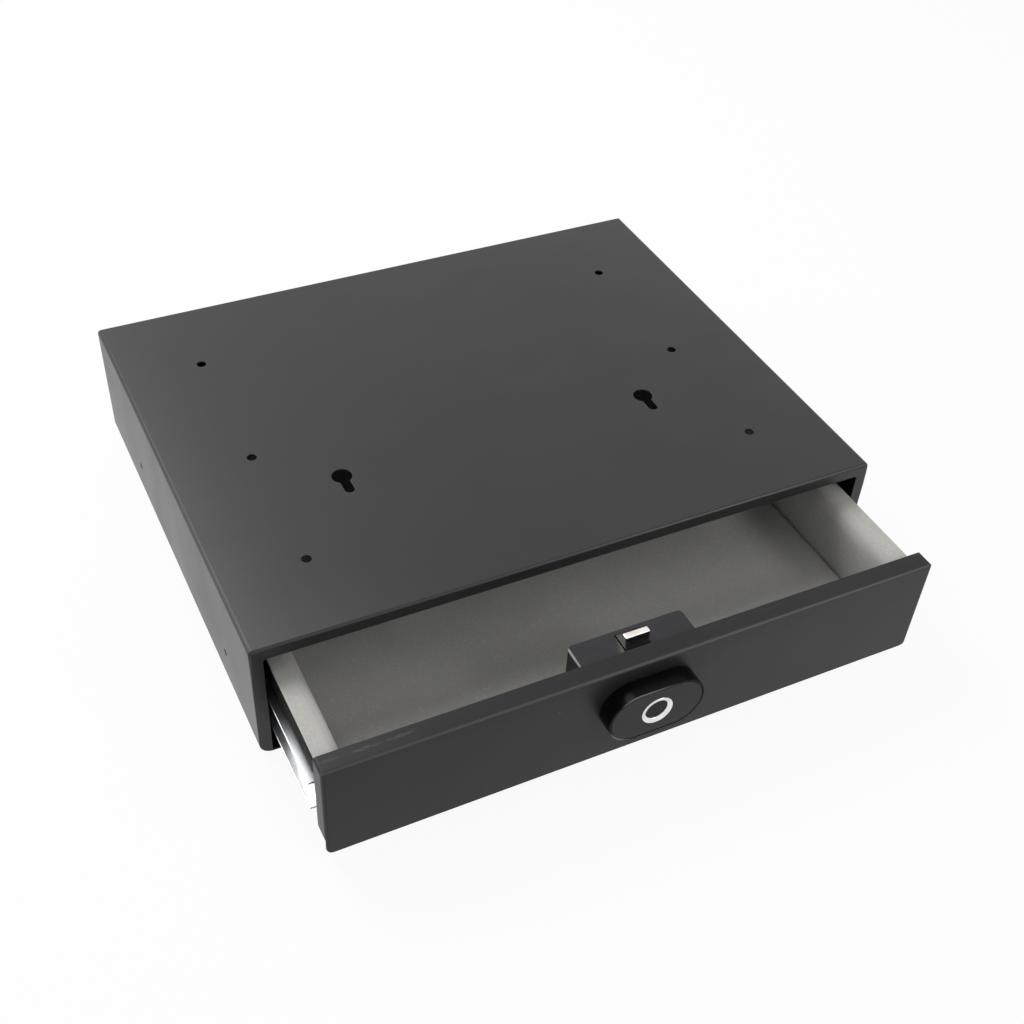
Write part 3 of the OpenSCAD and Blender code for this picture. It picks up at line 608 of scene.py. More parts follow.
@dataclass(frozen=True)
class SolderMask(Finish):
    """Green solder mask with the paler lines of the copper tracks beneath it."""

    name: str = "Green solder mask"
    mask: str = "#14512f"
    track: str = "#1f7244"
    pitch: float = 2.2

    def make(self) -> bpy.types.Material:
        """Makes the material.

        Returns:
            The material, which gives the eye a glossy green board with raised tracks.
        """
        s = Shading(self.name)
        # Cells with straight borders stand for the routed tracks
        place = s.mapped(s.place, [1 / self.pitch, 1 / self.pitch, 1 / (self.pitch * 2.5)])
        inputs = {"Vector": place, "Scale": 1.0}
        cells = add_node(s.tree, "ShaderNodeTexVoronoi", inputs, distance="CHEBYCHEV")
        tracks = s.spread(cells.outputs["Distance"], 0.3, 0.36, 0, 1)
        s.feed(Base_Color=s.blend(tracks, self.mask, self.track))
        s.feed(Roughness=s.spread(s.noise([8, 8, 8], 2.0), 0.3, 0.7, 0.28, 0.4))
        s.relief((tracks, 0.02))
        return s.material


@dataclass(frozen=True)
class FoilWrap(Finish):
    """The cells' plain foil wrap: dark with a copper toned band at one end, faintly creased."""

    name: str = "Foil wrapped cell"
    dark: str = "#26231f"
    band: str = "#b4713c"
    band_from: float = 50.0

    def make(self) -> bpy.types.Material:
        """Makes the material.

        Returns:
            The material, which gives the eye dark foil with one warm metallic band.
        """
        s = Shading(self.name)
        # The band starts at one height on every cell, as printed foil does
        height = add_node(s.tree, "ShaderNodeSeparateXYZ", {0: s.place}).outputs[2]
        band = s.spread(height, self.band_from, self.band_from + 0.3, 0, 1)
        crease = s.noise([7, 7, 1.5], 3.0)
        s.feed(Base_Color=s.blend(band, self.dark, self.band))
        s.feed(Roughness=s.spread(crease, 0.3, 0.7, 0.2, 0.32))
        s.relief((crease, 0.03))
        s.fix(Metallic=0.45)
        return s.material


@dataclass(frozen=True)
class EnamelledCopper(Finish):
    """Enamelled copper wire: reddish and glossy, darker where the enamel runs thick."""

    name: str = "Enamelled copper wire"
    bright: str = "#c8713a"
    dark: str = "#8e4520"

    def make(self) -> bpy.types.Material:
        """Makes the material.

        Returns:
            The material, which gives the eye warm red metal under a clear film.
        """
        s = Shading(self.name)
        # The enamel pools a little darker on the lower side of each turn
        runs = s.noise([1.5, 1.5, 0.5], 3.0)
        s.feed(Base_Color=s.blend(s.spread(runs, 0.3, 0.7, 0, 1), self.bright, self.dark))
        s.feed(Roughness=s.spread(runs, 0.3, 0.7, 0.22, 0.38))
        s.relief((runs, 0.01))
        s.fix(Metallic=0.9, Coat_Weight=0.4, Coat_Roughness=0.2)
        return s.material


@dataclass(frozen=True)
class Rubber(Finish):
    """Matt black rubber, dusty in patches, with a fine pitted skin."""

    name: str = "Matt black rubber"
    dark: str = "#1b1b1d"
    dusty: str = "#2b2b2c"

    def make(self) -> bpy.types.Material:
        """Makes the material.

        Returns:
            The material, which gives the eye a flat black that never shines.
        """
        s = Shading(self.name)
        # Dust dulls the black in patches a few millimetres wide
        pits = s.noise([0.5, 0.5, 0.5], 3.0)
        dust = s.noise([5, 5, 5], 3.0)
        s.feed(Base_Color=s.blend(s.spread(dust, 0.4, 0.7, 0, 1), self.dark, self.dusty))
        s.feed(Roughness=s.spread(dust, 0.3, 0.7, 0.7, 0.9))
        s.relief((pits, 0.03))
        return s.material


@dataclass(frozen=True)
class RibbonFilm(Finish):
    """Amber film of the flat ribbon, with the paler lines of its conductors."""

    name: str = "Amber ribbon film"
    film: str = "#8a4f14"
    wire: str = "#b9853c"
    pitch: float = 1.0

    def make(self) -> bpy.types.Material:
        """Makes the material.

        Returns:
            The material, which gives the eye amber film over fine parallel wires.
        """
        s = Shading(self.name)
        # The wires run along the ribbon and stand up a little under the film
        across = add_node(s.tree, "ShaderNodeSeparateXYZ", {0: s.place}).outputs[0]
        wave = s.maths("SINE", s.times(across, 2 * math.pi / self.pitch))
        wires = s.spread(wave, 0.1, 0.5, 0, 1)
        s.feed(Base_Color=s.blend(wires, self.film, self.wire))
        s.feed(Roughness=s.spread(wave, -1, 1, 0.34, 0.26))
        s.relief((wires, 0.03))
        return s.material


FINISHES = {
    Slot.COAT: PowderCoat(
        "Charcoal fine texture powder coat",
        "#2b2b2d",
        "#303032",
        "#4a4a4c",
        shine=0.3,
        # Painted highlight along the case's top front bend
        painted_bend_highlights=(ScuffAndHighlight((0.0, -158.3, 83.6), (600.0, 1.2, 1.2)),),
        bend_highlight_share=0.6,
    ),
    Slot.PANEL_COAT: PowderCoat(
        "Charcoal satin powder coat",
        "#252526",
        "#2a2a2b",
        "#8c8a8e",
        grain=0.35,
        grain_depth=0.006,
        rough_low=0.34,
        rough_high=0.39,
        streaks=0.05,
        shine=0.2,
        scuffs=(
            ScuffAndHighlight((-163.0, -231.3, 71.8), (11.0, 1.3, 2.0)),
            ScuffAndHighlight((-144.5, -231.0, 71.8), (10.0, 1.4, 2.0)),
            ScuffAndHighlight((-183.0, -231.0, 71.8), (9.0, 1.0, 2.0)),
            ScuffAndHighlight((-56.3, -238.5, 55.3), (1.6, 2.0, 0.5)),
        ),
        # Painted highlight along the front panel's top bend
        painted_bend_highlights=(ScuffAndHighlight((0.0, -238.1, 71.4), (600.0, 1.5, 1.5)),),
        bend_highlight_share=0.28,
    ),
    Slot.ZINC: ZincPlate(),
    Slot.FELT: FeltCloth(),
    Slot.HOUSING: MouldedPlastic(
        "Satin black moulded plastic",
        "#242427",
        "#2a2a2d",
        wear_and_highlight="#a4a4a6",
        # Painted highlight along the housing's left top edge
        painted_highlights=(ScuffAndHighlight((-36.6, -214.0, 67.3), (1.1, 20.0, 1.1)),),
    ),
    Slot.READER: MouldedPlastic(
        "Polished black moulded plastic",
        "#0e0e10",
        "#121214",
        grain=0.8,
        grain_depth=0.002,
        rough_low=0.25,
        rough_high=0.3,
        shine=0.06,
        wear_and_highlight="#7d7d80",
        # Painted highlights along the reader body's rim, at the top and at the lower left
        painted_highlights=(
            ScuffAndHighlight((-14.0, -249.8, 60.4), (26.0, 0.45, 5.0)),
            ScuffAndHighlight((-24.0, -249.8, 30.0), (12.0, 0.4, 8.0)),
        ),
    ),
    Slot.NICKEL: BrightNickel(),
    Slot.GLASS: SensorGlass(),
    Slot.ELECTRONICS: MouldedPlastic(
        "Matt black component resin",
        "#17171a",
        "#202024",
        grain=0.4,
        rough_low=0.5,
        rough_high=0.65,
    ),
    Slot.BOARD: SolderMask(),
    Slot.CELLS: FoilWrap(),
    Slot.COPPER: EnamelledCopper(),
    Slot.RUBBER: Rubber(),
}
# Chrome is whiter than the nickel beside it, with slightly duller patches
RING_FINISH = BrightNickel("Satin chrome plate", "#ebebec", "#d9d9db")
# Both blacks are partly painted shade: the pan's for the gap beside the drawer, the screws' for the
# holes in the case's sides
PAN_BLACK_AND_SHADE = BlackCoatAndShade("Flat black coat and painted shade")
SCREW_BLACK_AND_SHADE = BlackCoatAndShade("Black oxide steel and painted shade", "#09090a", "#0f0f10")
# The reader's cover is the same plastic as its body, dulled by a fine etched face
COVER_FINISH = MouldedPlastic(
    "Etched satin black cover",
    "#19191b",
    "#1e1e20",
    grain=0.28,
    grain_depth=0.006,
    rough_low=0.36,
    rough_high=0.42,
    shine=0.2,
)
RIBBON_FINISH = RibbonFilm()
_made: dict[str, bpy.types.Material] = {}


def finish_of(finish: Finish) -> bpy.types.Material:
    """Makes a finish's material once and gives the same one later.

    Args:
        finish: The finish.

    Returns:
        Its material.
    """
    if finish.name not in _made:
        _made[finish.name] = finish.make()
    return _made[finish.name]


# Meshes: copies of CAD nodes with rounded edges, turned shapes and Geometry Nodes repeats


def new_object(name: str, shape: bmesh.types.BMesh) -> bpy.types.Object:
    """Turns a bmesh in millimetres into an object in the scene.

    Args:
        name: The object's name.
        shape: The mesh, which is freed.

    Returns:
        The object, at the origin, its place in its mesh.
    """
    mesh = bpy.data.meshes.new(name)
    shape.transform(Matrix.Scale(MM, 4))
    shape.to_mesh(mesh)
    shape.free()
    obj = bpy.data.objects.new(name, mesh)
    bpy.context.scene.collection.objects.link(obj)
    return obj


def bake(obj: bpy.types.Object) -> None:
    """Makes an object's modifiers part of its mesh.

    Args:
        obj: The object.
    """
    graph = bpy.context.evaluated_depsgraph_get()
    graph.update()
    result = bpy.data.meshes.new_from_object(obj.evaluated_get(graph), depsgraph=graph)
    obj.modifiers.clear()
    obj.data = result


def shade(shape: bmesh.types.BMesh, limit: float = 32.0) -> None:
    """Shades a mesh smooth, apart from its edges.

    Args:
        shape: The mesh.
        limit: The angle from which an edge stays sharp, in degrees.
    """
    for face in shape.faces:
        face.smooth = True
    for edge in shape.edges:
        edge.smooth = len(edge.link_faces) != 2 or edge.calc_face_angle(0) < math.radians(limit)


@dataclass(frozen=True)
class Fold:
    """A box of space whose edges get a rounding of their own.

    With a width of 0 they get none, and nor do the edges that only reach into the box.
    """

    low: tuple[float, float, float]
    high: tuple[float, float, float]
    width: float

    def holds(self, edge: bmesh.types.BMEdge) -> bool:
        """Tells whether the box holds an edge.

        Args:
            edge: The edge.

        Returns:
            Whether both of its ends lie in the box, or either of them where the width is 0.
        """
        ends = []
        for vertex in edge.verts:
            spans = zip(self.low, vertex.co, self.high)
            ends.append(all(low - FOLD_SLACK <= at <= high + FOLD_SLACK for low, at, high in spans))
        return all(ends) if self.width else any(ends)


def merged_copy(node: str) -> bmesh.types.BMesh:
    """Copies a CAD node's mesh in millimetres, with its loose triangles joined into whole faces.

    Args:
        node: The node's name.

    Returns:
        The copy.
    """
    shape = bmesh.new()
    shape.from_mesh(frame["nodes"][node].data)
    shape.transform(Matrix.Scale(1 / MM, 4))
    bmesh.ops.remove_doubles(shape, verts=shape.verts, dist=MERGE)
    bmesh.ops.dissolve_degenerate(shape, edges=shape.edges, dist=MERGE)
    flat = math.radians(FLAT_DEG)
    bmesh.ops.dissolve_limit(shape, verts=shape.verts, edges=shape.edges, angle_limit=flat)
    return shape


def softened(
    node: str, width: float, folds: Iterable[Fold] = (), segments: int = 2, least: float = 25.0
) -> bpy.types.Object:
    """Copies a CAD node with its edges rounded.

    Args:
        node: The node's name.
        width: How far the rounding reaches in from an edge.
        folds: Places whose edges are rounded more or less.
        segments: The faces across a rounding.
        least: The angle from which an edge is rounded, in degrees.

    Returns:
        The new object.
    """
    shape = merged_copy(node)
    folds = list(folds)
    widest = max([width] + [f.width for f in folds])
    weights = shape.edges.layers.float.new("bevel_weight_edge")
    for edge in shape.edges:
        if len(edge.link_faces) == 2 and edge.calc_face_angle(0) > math.radians(least):
            own = next((f.width for f in folds if f.holds(edge)), width)
            edge[weights] = own / widest
    shade(shape)
    obj = new_object(node + "_dressed", shape)
    bevel = obj.modifiers.new("rounding", "BEVEL")
    bevel.limit_method = "WEIGHT"
    bevel.width = widest * MM
    bevel.segments = segments
    bevel.use_clamp_overlap = False
    bevel.harden_normals = True
    bake(obj)
    return obj


def turned(
    name: str, outline: Sequence[tuple[float, float]], steps: int, place: Matrix, ring: bool = False
) -> bmesh.types.BMesh:
    """Turns an outline round the Z axis.

    Args:
        name: What the shape is, for the log.
        outline: Radius and height of each point, from the bottom of the axis to its top.
        steps: The faces round the shape.
        place: Where the shape goes.
        ring: Whether the outline is a closed loop beside the axis.

    Returns:
        The closed mesh.
    """
    shape = bmesh.new()
    rings = []
    for radius, height in outline:
        if radius < 1e-6:
            rings.append([shape.verts.new((0, 0, height))])
            continue
        turns = [2 * math.pi * i / steps for i in range(steps)]
        points = [(radius * math.cos(a), radius * math.sin(a), height) for a in turns]
        rings.append([shape.verts.new(point) for point in points])
    for low, high in zip(rings, rings[1:] + rings[:1] if ring else rings[1:]):
        for i in range(steps):
            j = (i + 1) % steps
            pairs = ((low, i), (low, j), (high, j), (high, i))
            corners = [loop[k % len(loop)] for loop, k in pairs]
            # Where a ring is one point, its two corners are one and the face is a triangle
            shape.faces.new(list(dict.fromkeys(corners)))
    bmesh.ops.recalc_face_normals(shape, faces=shape.faces)
    shade(shape)
    shape.transform(place)
    log.debug("%s: %d faces turned", name, len(shape.faces))
    return shape


def gathered(shapes: Iterable[bmesh.types.BMesh]) -> bmesh.types.BMesh:
    """Puts separate shapes into one mesh.

    Args:
        shapes: The shapes, which are used up.

    Returns:
        The mesh that holds them all.
    """
    whole = bmesh.new()
    for shape in shapes:
        mesh = bpy.data.meshes.new("part of a set")
        shape.to_mesh(mesh)
        shape.free()
        whole.from_mesh(mesh)
        bpy.data.meshes.remove(mesh)
    return whole


class Pattern:
    """A Geometry Nodes tree with named inputs, run once on a carrier and made a plain mesh."""

    def __init__(self, name: str, **sizes: float) -> None:
        """Starts a tree.

        Args:
            name: The tree's name.
            **sizes: Its named inputs and their values, lengths in millimetres, with _ for a space.
        """
        self.name = name
        self.tree = bpy.data.node_groups.new(name, "GeometryNodeTree")
        face = self.tree.interface
        face.new_socket("Geometry", in_out="INPUT", socket_type="NodeSocketGeometry")
        self.sizes = {key.replace("_", " "): value for key, value in sizes.items()}
        for label, value in self.sizes.items():
            kind = "NodeSocketInt" if isinstance(value, int) else "NodeSocketFloat"
            face.new_socket(label, in_out="INPUT", socket_type=kind)
        face.new_socket("Material", in_out="INPUT", socket_type="NodeSocketMaterial")
        face.new_socket("Geometry", in_out="OUTPUT", socket_type="NodeSocketGeometry")
        self.given = add_node(self.tree, "NodeGroupInput").outputs

    def add(self, kind: str, inputs: dict | None = None, **settings: object) -> bpy.types.Node:
        """Adds one node to the tree, as add_node does."""
        return add_node(self.tree, kind, inputs, **settings)

    def maths(self, operation: str, *values: bpy.types.NodeSocket | float) -> bpy.types.NodeSocket:
        """Works out one sum.

        Args:
            operation: What is done with the values.
            *values: Sockets or plain numbers.

        Returns:
            The result.
        """
        return self.add("ShaderNodeMath", dict(enumerate(values)), operation=operation).outputs[0]

    def times(self, *values: bpy.types.NodeSocket | float) -> bpy.types.NodeSocket:
        """Multiplies two values."""
        return self.maths("MULTIPLY", *values)

    def vector(self, *values: bpy.types.NodeSocket | float) -> bpy.types.NodeSocket:
        """Joins three numbers into one vector.

        Args:
            *values: Sockets or plain numbers for X, Y and Z.

        Returns:
            The vector.
        """
        return self.add("ShaderNodeCombineXYZ", dict(enumerate(values))).outputs[0]

    def scatter(self, piece: bpy.types.NodeSocket, seed: int | None = None) -> bpy.types.NodeSocket:
        """Puts a copy of a piece on each of the carrier's points, its Z axis along their facing.

        Args:
            piece: The piece.
            seed: Turns each copy round its own axis by a chance angle with this seed.

        Returns:
            The copies.
        """
        kind = "GeometryNodeInputNamedAttribute"
        facing = self.add(kind, {"Name": "facing"}, data_type="FLOAT_VECTOR").outputs[0]
        align = self.add("FunctionNodeAlignRotationToVector", {"Vector": facing}, axis="Z")
        inputs = {"Points": self.given["Geometry"], "Instance": piece, "Rotation": align.outputs[0]}
        copies = self.add("GeometryNodeInstanceOnPoints", inputs).outputs[0]
        if seed is None:
            return copies
        inputs = {"Max": math.pi, "Seed": seed}
        chance = self.add("FunctionNodeRandomValue", inputs, data_type="FLOAT").outputs[1]
        inputs = {"Angle": chance, "Axis": (0, 0, 1)}
        turn = self.add("FunctionNodeAxisAngleToRotation", inputs).outputs[0]
        inputs = {"Instances": copies, "Rotation": turn}
        return self.add("GeometryNodeRotateInstances", inputs).outputs[0]

    def close(self, shape: bpy.types.NodeSocket) -> None:
        """Ends the tree.

        Args:
            shape: What the tree has made.
        """
        real = self.add("GeometryNodeRealizeInstances", {"Geometry": shape})
        dressed = self.shaped("GeometryNodeSetMaterial", real, Material=self.given["Material"])
        self.shaped("NodeGroupOutput", dressed)

    def shaped(
        self, kind: str, shape: bpy.types.Node, **links: bpy.types.NodeSocket
    ) -> bpy.types.Node:
        """Adds a node that works on another node's geometry.

        Args:
            kind: The node's kind.
            shape: The node whose first output is the geometry.
            **links: What else is linked.

        Returns:
            The new node.
        """
        return self.add(kind, {"Geometry": shape.outputs[0], **links})

    def joined(self, way: str, first: bpy.types.Node, second: bpy.types.Node) -> bpy.types.Node:
        """Adds an exact boolean, which leaves closed meshes.

        Args:
            way: INTERSECT, or DIFFERENCE to take the second shape from the first.
            first: The first shape's node.
            second: The second shape's node.

        Returns:
            The new node.
        """
        inputs = {"Mesh 1": first.outputs[0], "Mesh 2": second.outputs[0]}
        if way == "INTERSECT":
            inputs = {"Mesh 2": [first.outputs[0], second.outputs[0]]}
        return self.add("GeometryNodeMeshBoolean", inputs, operation=way, solver="EXACT")

    def run(
        self,
        name: str,
        points: Sequence[Sequence[float]],
        facing: Sequence[Sequence[float]],
        finish: Finish,
    ) -> bpy.types.Object:
        """Runs the tree on a set of points.

        Args:
            name: The new object's name.
            points: Where the copies go.
            facing: The way that each copy's Z axis points.
            finish: The finish.

        Returns:
            An object with a plain mesh.
        """
        mesh = bpy.data.meshes.new(name)
        mesh.from_pydata([tuple(c for c in p) for p in points], [], [])
        layer = mesh.attributes.new("facing", "FLOAT_VECTOR", "POINT")
        layer.data.foreach_set("vector", [c for f in facing for c in f])
        obj = bpy.data.objects.new(name, mesh)
        bpy.context.scene.collection.objects.link(obj)
        modifier = obj.modifiers.new(self.name, "NODES")
        modifier.node_group = self.tree
        values = dict(self.sizes, Material=finish_of(finish))
        for item in self.tree.interface.items_tree:
            if item.item_type == "SOCKET" and item.in_out == "INPUT" and item.name in values:
                modifier[item.identifier] = values[item.name]
        bake(obj)
        obj.data.transform(Matrix.Scale(MM, 4))
        for extra in [a.name for a in obj.data.attributes if a.name == "facing"]:
            obj.data.attributes.remove(obj.data.attributes[extra])
        return obj


@dataclass(frozen=True)
class PanScrew:
    """A pan head screw with a cross recess, its head's seat at the point, its shank behind."""

    head_d: float
    head_h: float
    shank_d: float
    shank_l: float
    slot_share: float = 0.17
    reach_share: float = 0.62
    depth_share: float = 0.55
    dome_share: float = 1.12

    def pattern(self) -> Pattern:
        """Makes the tree that puts these screws on a carrier's points.

        Returns:
            The tree.
        """
        p = Pattern(
            "pan_head_screws",
            Head_Diameter=self.head_d,
            Head_Height=self.head_h,
            Shank_Diameter=self.shank_d,
            Shank_Length=self.shank_l,
            Slot_Share=self.slot_share,
            Reach_Share=self.reach_share,
            Depth_Share=self.depth_share,
        )
        # The head is what a drum and a flattened ball share: straight sides below, a dome above
        rim = p.times(p.given["Head Diameter"], 0.5)
        inputs = {"Radius": rim, "Depth": p.given["Head Height"], "Vertices": 36}
        drum = p.add("GeometryNodeMeshCylinder", inputs)
        half = p.vector(0.0, 0.0, p.times(p.given["Head Height"], 0.5))
        raised = p.shaped("GeometryNodeTransform", drum, Translation=half)
        ball = p.add("GeometryNodeMeshUVSphere", {"Segments": 40, "Rings": 30, "Radius": 1.0})
        wide = p.times(rim, self.dome_share)
        scale = p.vector(wide, wide, p.given["Head Height"])
        dome = p.shaped("GeometryNodeTransform", ball, Scale=scale)
        head = p.joined("INTERSECT", raised, dome)
        reach = p.times(p.given["Head Diameter"], p.given["Reach Share"])
        slot = p.times(p.given["Head Diameter"], p.given["Slot Share"])
        depth = p.times(p.given["Head Height"], p.given["Depth Share"])
        tall = p.times(depth, 2.0)
        cut = head
        for size in (p.vector(reach, slot, tall), p.vector(slot, reach, tall)):
            bar = p.add("GeometryNodeMeshCube", {"Size": size})
            lift = p.vector(0.0, 0.0, p.given["Head Height"])
            raised = p.shaped("GeometryNodeTransform", bar, Translation=lift)
            cut = p.joined("DIFFERENCE", cut, raised)
        radius = p.times(p.given["Shank Diameter"], 0.5)
        inputs = {"Radius": radius, "Depth": p.given["Shank Length"], "Vertices": 20}
        shank = p.add("GeometryNodeMeshCylinder", inputs)
        down = p.vector(0.0, 0.0, p.times(p.given["Shank Length"], -0.5))
        sunk = p.shaped("GeometryNodeTransform", shank, Translation=down)
        whole = p.add("GeometryNodeJoinGeometry", {"Geometry": [cut.outputs[0], sunk.outputs[0]]})
        p.close(p.scatter(whole.outputs[0], seed=7))
        return p


@dataclass(frozen=True)
class HexNut:
    """A hexagon nut with a chamfered outside and a plain bore."""

    across: float
    height: float
    bore: float
    ball_share: float = 0.6
    ball_rise: float = 0.95

    def pattern(self) -> Pattern:
        """Makes the tree that puts these nuts on a carrier's points.

        Returns:
            The tree.
        """
        p = Pattern("hex_nuts", Across_Flats=self.across, Height=self.height, Bore=self.bore)
        corner = p.maths("DIVIDE", p.given["Across Flats"], math.sqrt(3))
        inputs = {"Radius": corner, "Depth": p.given["Height"], "Vertices": 6}
        body = p.add("GeometryNodeMeshCylinder", inputs)
        ball = p.add("GeometryNodeMeshUVSphere", {"Segments": 36, "Rings": 24, "Radius": 1.0})
        wide = p.times(p.given["Across Flats"], self.ball_share)
        tall = p.times(p.given["Height"], self.ball_rise)
        # A flattened ball takes the six corners off, as the chamfer of a real nut does
        domed = p.shaped("GeometryNodeTransform", ball, Scale=p.vector(wide, wide, tall))
        meet = p.joined("INTERSECT", body, domed)
        radius = p.times(p.given["Bore"], 0.5)
        long = p.times(p.given["Height"], 2.0)
        drill = p.add("GeometryNodeMeshCylinder", {"Radius": radius, "Depth": long, "Vertices": 24})
        bored = p.joined("DIFFERENCE", meet, drill)
        lift = p.vector(0.0, 0.0, p.times(p.given["Height"], 0.5))
        seated = p.shaped("GeometryNodeTransform", bored, Translation=lift)
        p.close(p.scatter(seated.outputs[0]))
        return p


@dataclass(frozen=True)
class BearingBall:
    """A bearing ball."""

    diameter: float

    def pattern(self) -> Pattern:
        """Makes the tree that puts these balls on a carrier's points.

        Returns:
            The tree.
        """
        p = Pattern("bearing_balls", Diameter=self.diameter)
        radius = p.times(p.given["Diameter"], 0.5)
        ball = p.add("GeometryNodeMeshUVSphere", {"Segments": 20, "Rings": 12, "Radius": radius})
        smooth = p.shaped("GeometryNodeSetShadeSmooth", ball)
        p.close(p.scatter(smooth.outputs[0]))
        return p


@dataclass(frozen=True)
class WireHelix:
    """Round wire wound into a helix that starts at the point and rises along its facing."""

    diameter: float
    wire: float
    turns: float
    height: float
    steps: int = 24
    sides: int = 8

    def pattern(self) -> Pattern:
        """Makes the tree that winds the wire from a carrier's point.

        Returns:
            The tree.
        """
        p = Pattern(
            "wire_helix",
            Diameter=self.diameter,
            Wire=self.wire,
            Turns=self.turns,
            Height=self.height,
        )
        radius = p.times(p.maths("SUBTRACT", p.given["Diameter"], p.given["Wire"]), 0.5)
        rise = p.maths("SUBTRACT", p.given["Height"], p.given["Wire"])
        inputs = {"Start Radius": radius, "End Radius": radius, "Height": rise}
        inputs |= {"Rotations": p.given["Turns"], "Resolution": self.steps}
        coil = p.add("GeometryNodeCurveSpiral", inputs)
        half = p.times(p.given["Wire"], 0.5)
        lift = p.shaped("GeometryNodeTransform", coil, Translation=p.vector(0.0, 0.0, half))
        ring = p.add("GeometryNodeCurvePrimitiveCircle", {"Radius": half, "Resolution": self.sides})
        inputs = {"Curve": lift.outputs[0], "Profile Curve": ring.outputs[0], "Fill Caps": True}
        tube = p.add("GeometryNodeCurveToMesh", inputs)
        smooth = p.shaped("GeometryNodeSetShadeSmooth", tube)
        p.close(p.scatter(smooth.outputs[0]))
        return p


# Assemblies: each class builds one group of pieces and ties them to the model


def hand_over(
    obj: bpy.types.Object,
    nodes: Sequence[str],
    body: Body,
    slot: Slot,
    finish: Finish | None = None,
) -> bpy.types.Object:
    """Dresses a piece and ties it to the model.

    Args:
        obj: The piece.
        nodes: The CAD nodes that it stands for.
        body: The body that it moves with.
        slot: The record's material slot.
        finish: Its finish, where it isn't the slot's own.

    Returns:
        The piece.
    """
    if not obj.data.materials or finish is not None:
        obj.data.materials.clear()
        obj.data.materials.append(finish_of(finish or FINISHES[slot]))
    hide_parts(*nodes)
    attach(obj, body.value)
    faces, held = len(obj.data.polygons), ", ".join(nodes)
    log.info("%s: %d faces, rides on %s, stands for %s", obj.name, faces, body.value, held)
    return obj


def fasten(
    screw: PanScrew | HexNut | BearingBall | WireHelix,
    node: str,
    points: Sequence,
    facing: Sequence,
    body: Body,
    slot: Slot,
    finish: Finish | None = None,
) -> bpy.types.Object:
    """Makes a set of repeated pieces and ties it to the model.

    Args:
        screw: The piece that repeats.
        node: The CAD node that the set stands for.
        points: Where the pieces go.
        facing: The way that each piece's Z axis points.
        body: The body that the set moves with.
        slot: The record's material slot.
        finish: Another finish than the slot's own.

    Returns:
        The set as one object.
    """
    obj = screw.pattern().run(node + "_dressed", points, facing, finish or FINISHES[slot])
    shape = bmesh.new()
    shape.from_mesh(obj.data)
    shade(shape, FASTENER_DEG)
    shape.to_mesh(obj.data)
    shape.free()
    return hand_over(obj, [node], body, slot, finish)


def screw_pair(screw: PanScrew, node: str, box: Iterable[Vector], axis: int, way: int) -> None:
    """Puts two of the drawer's screws into opposite corners of their CAD solids' box.

    Args:
        screw: The screw.
        node: The CAD node that the two stand for.
        box: That node's box.
        axis: The axis that the screws lie along, as a number.
        way: 1 where the heads face up that axis, -1 where they face down.
    """
    low, high = in_mm(box)
    inset = screw.head_d / 2
    points = [[c + inset for c in low], [c - inset for c in high]]
    for point in points:
        point[axis] = high[axis] - screw.head_h if way > 0 else low[axis] + screw.head_h
    facing = [0, 0, 0]
    facing[axis] = way
    fasten(screw, node, points, [facing] * 2, Body.DRAWER, Slot.ZINC)


@dataclass(frozen=True)
class Lamp:
    """A soft rectangular lamp: its width and height, its watts, its place and what it faces."""

    name: str
    size: tuple[float, float]
    watts: float
    place: tuple[float, float, float]
    aim: tuple[float, float, float]

    def hang(self) -> None:
        """Hangs the lamp in the scene."""
        data = bpy.data.lights.new(self.name, "AREA")
        data.shape = "RECTANGLE"
        data.size, data.size_y = self.size[0] * MM, self.size[1] * MM
        data.energy = self.watts
        obj = bpy.data.objects.new(self.name, data)
        obj.location = Vector(self.place) * MM
        look = Vector(self.aim) - Vector(self.place)
        obj.rotation_euler = look.to_track_quat("-Z", "Y").to_euler()
        bpy.context.scene.collection.objects.link(obj)


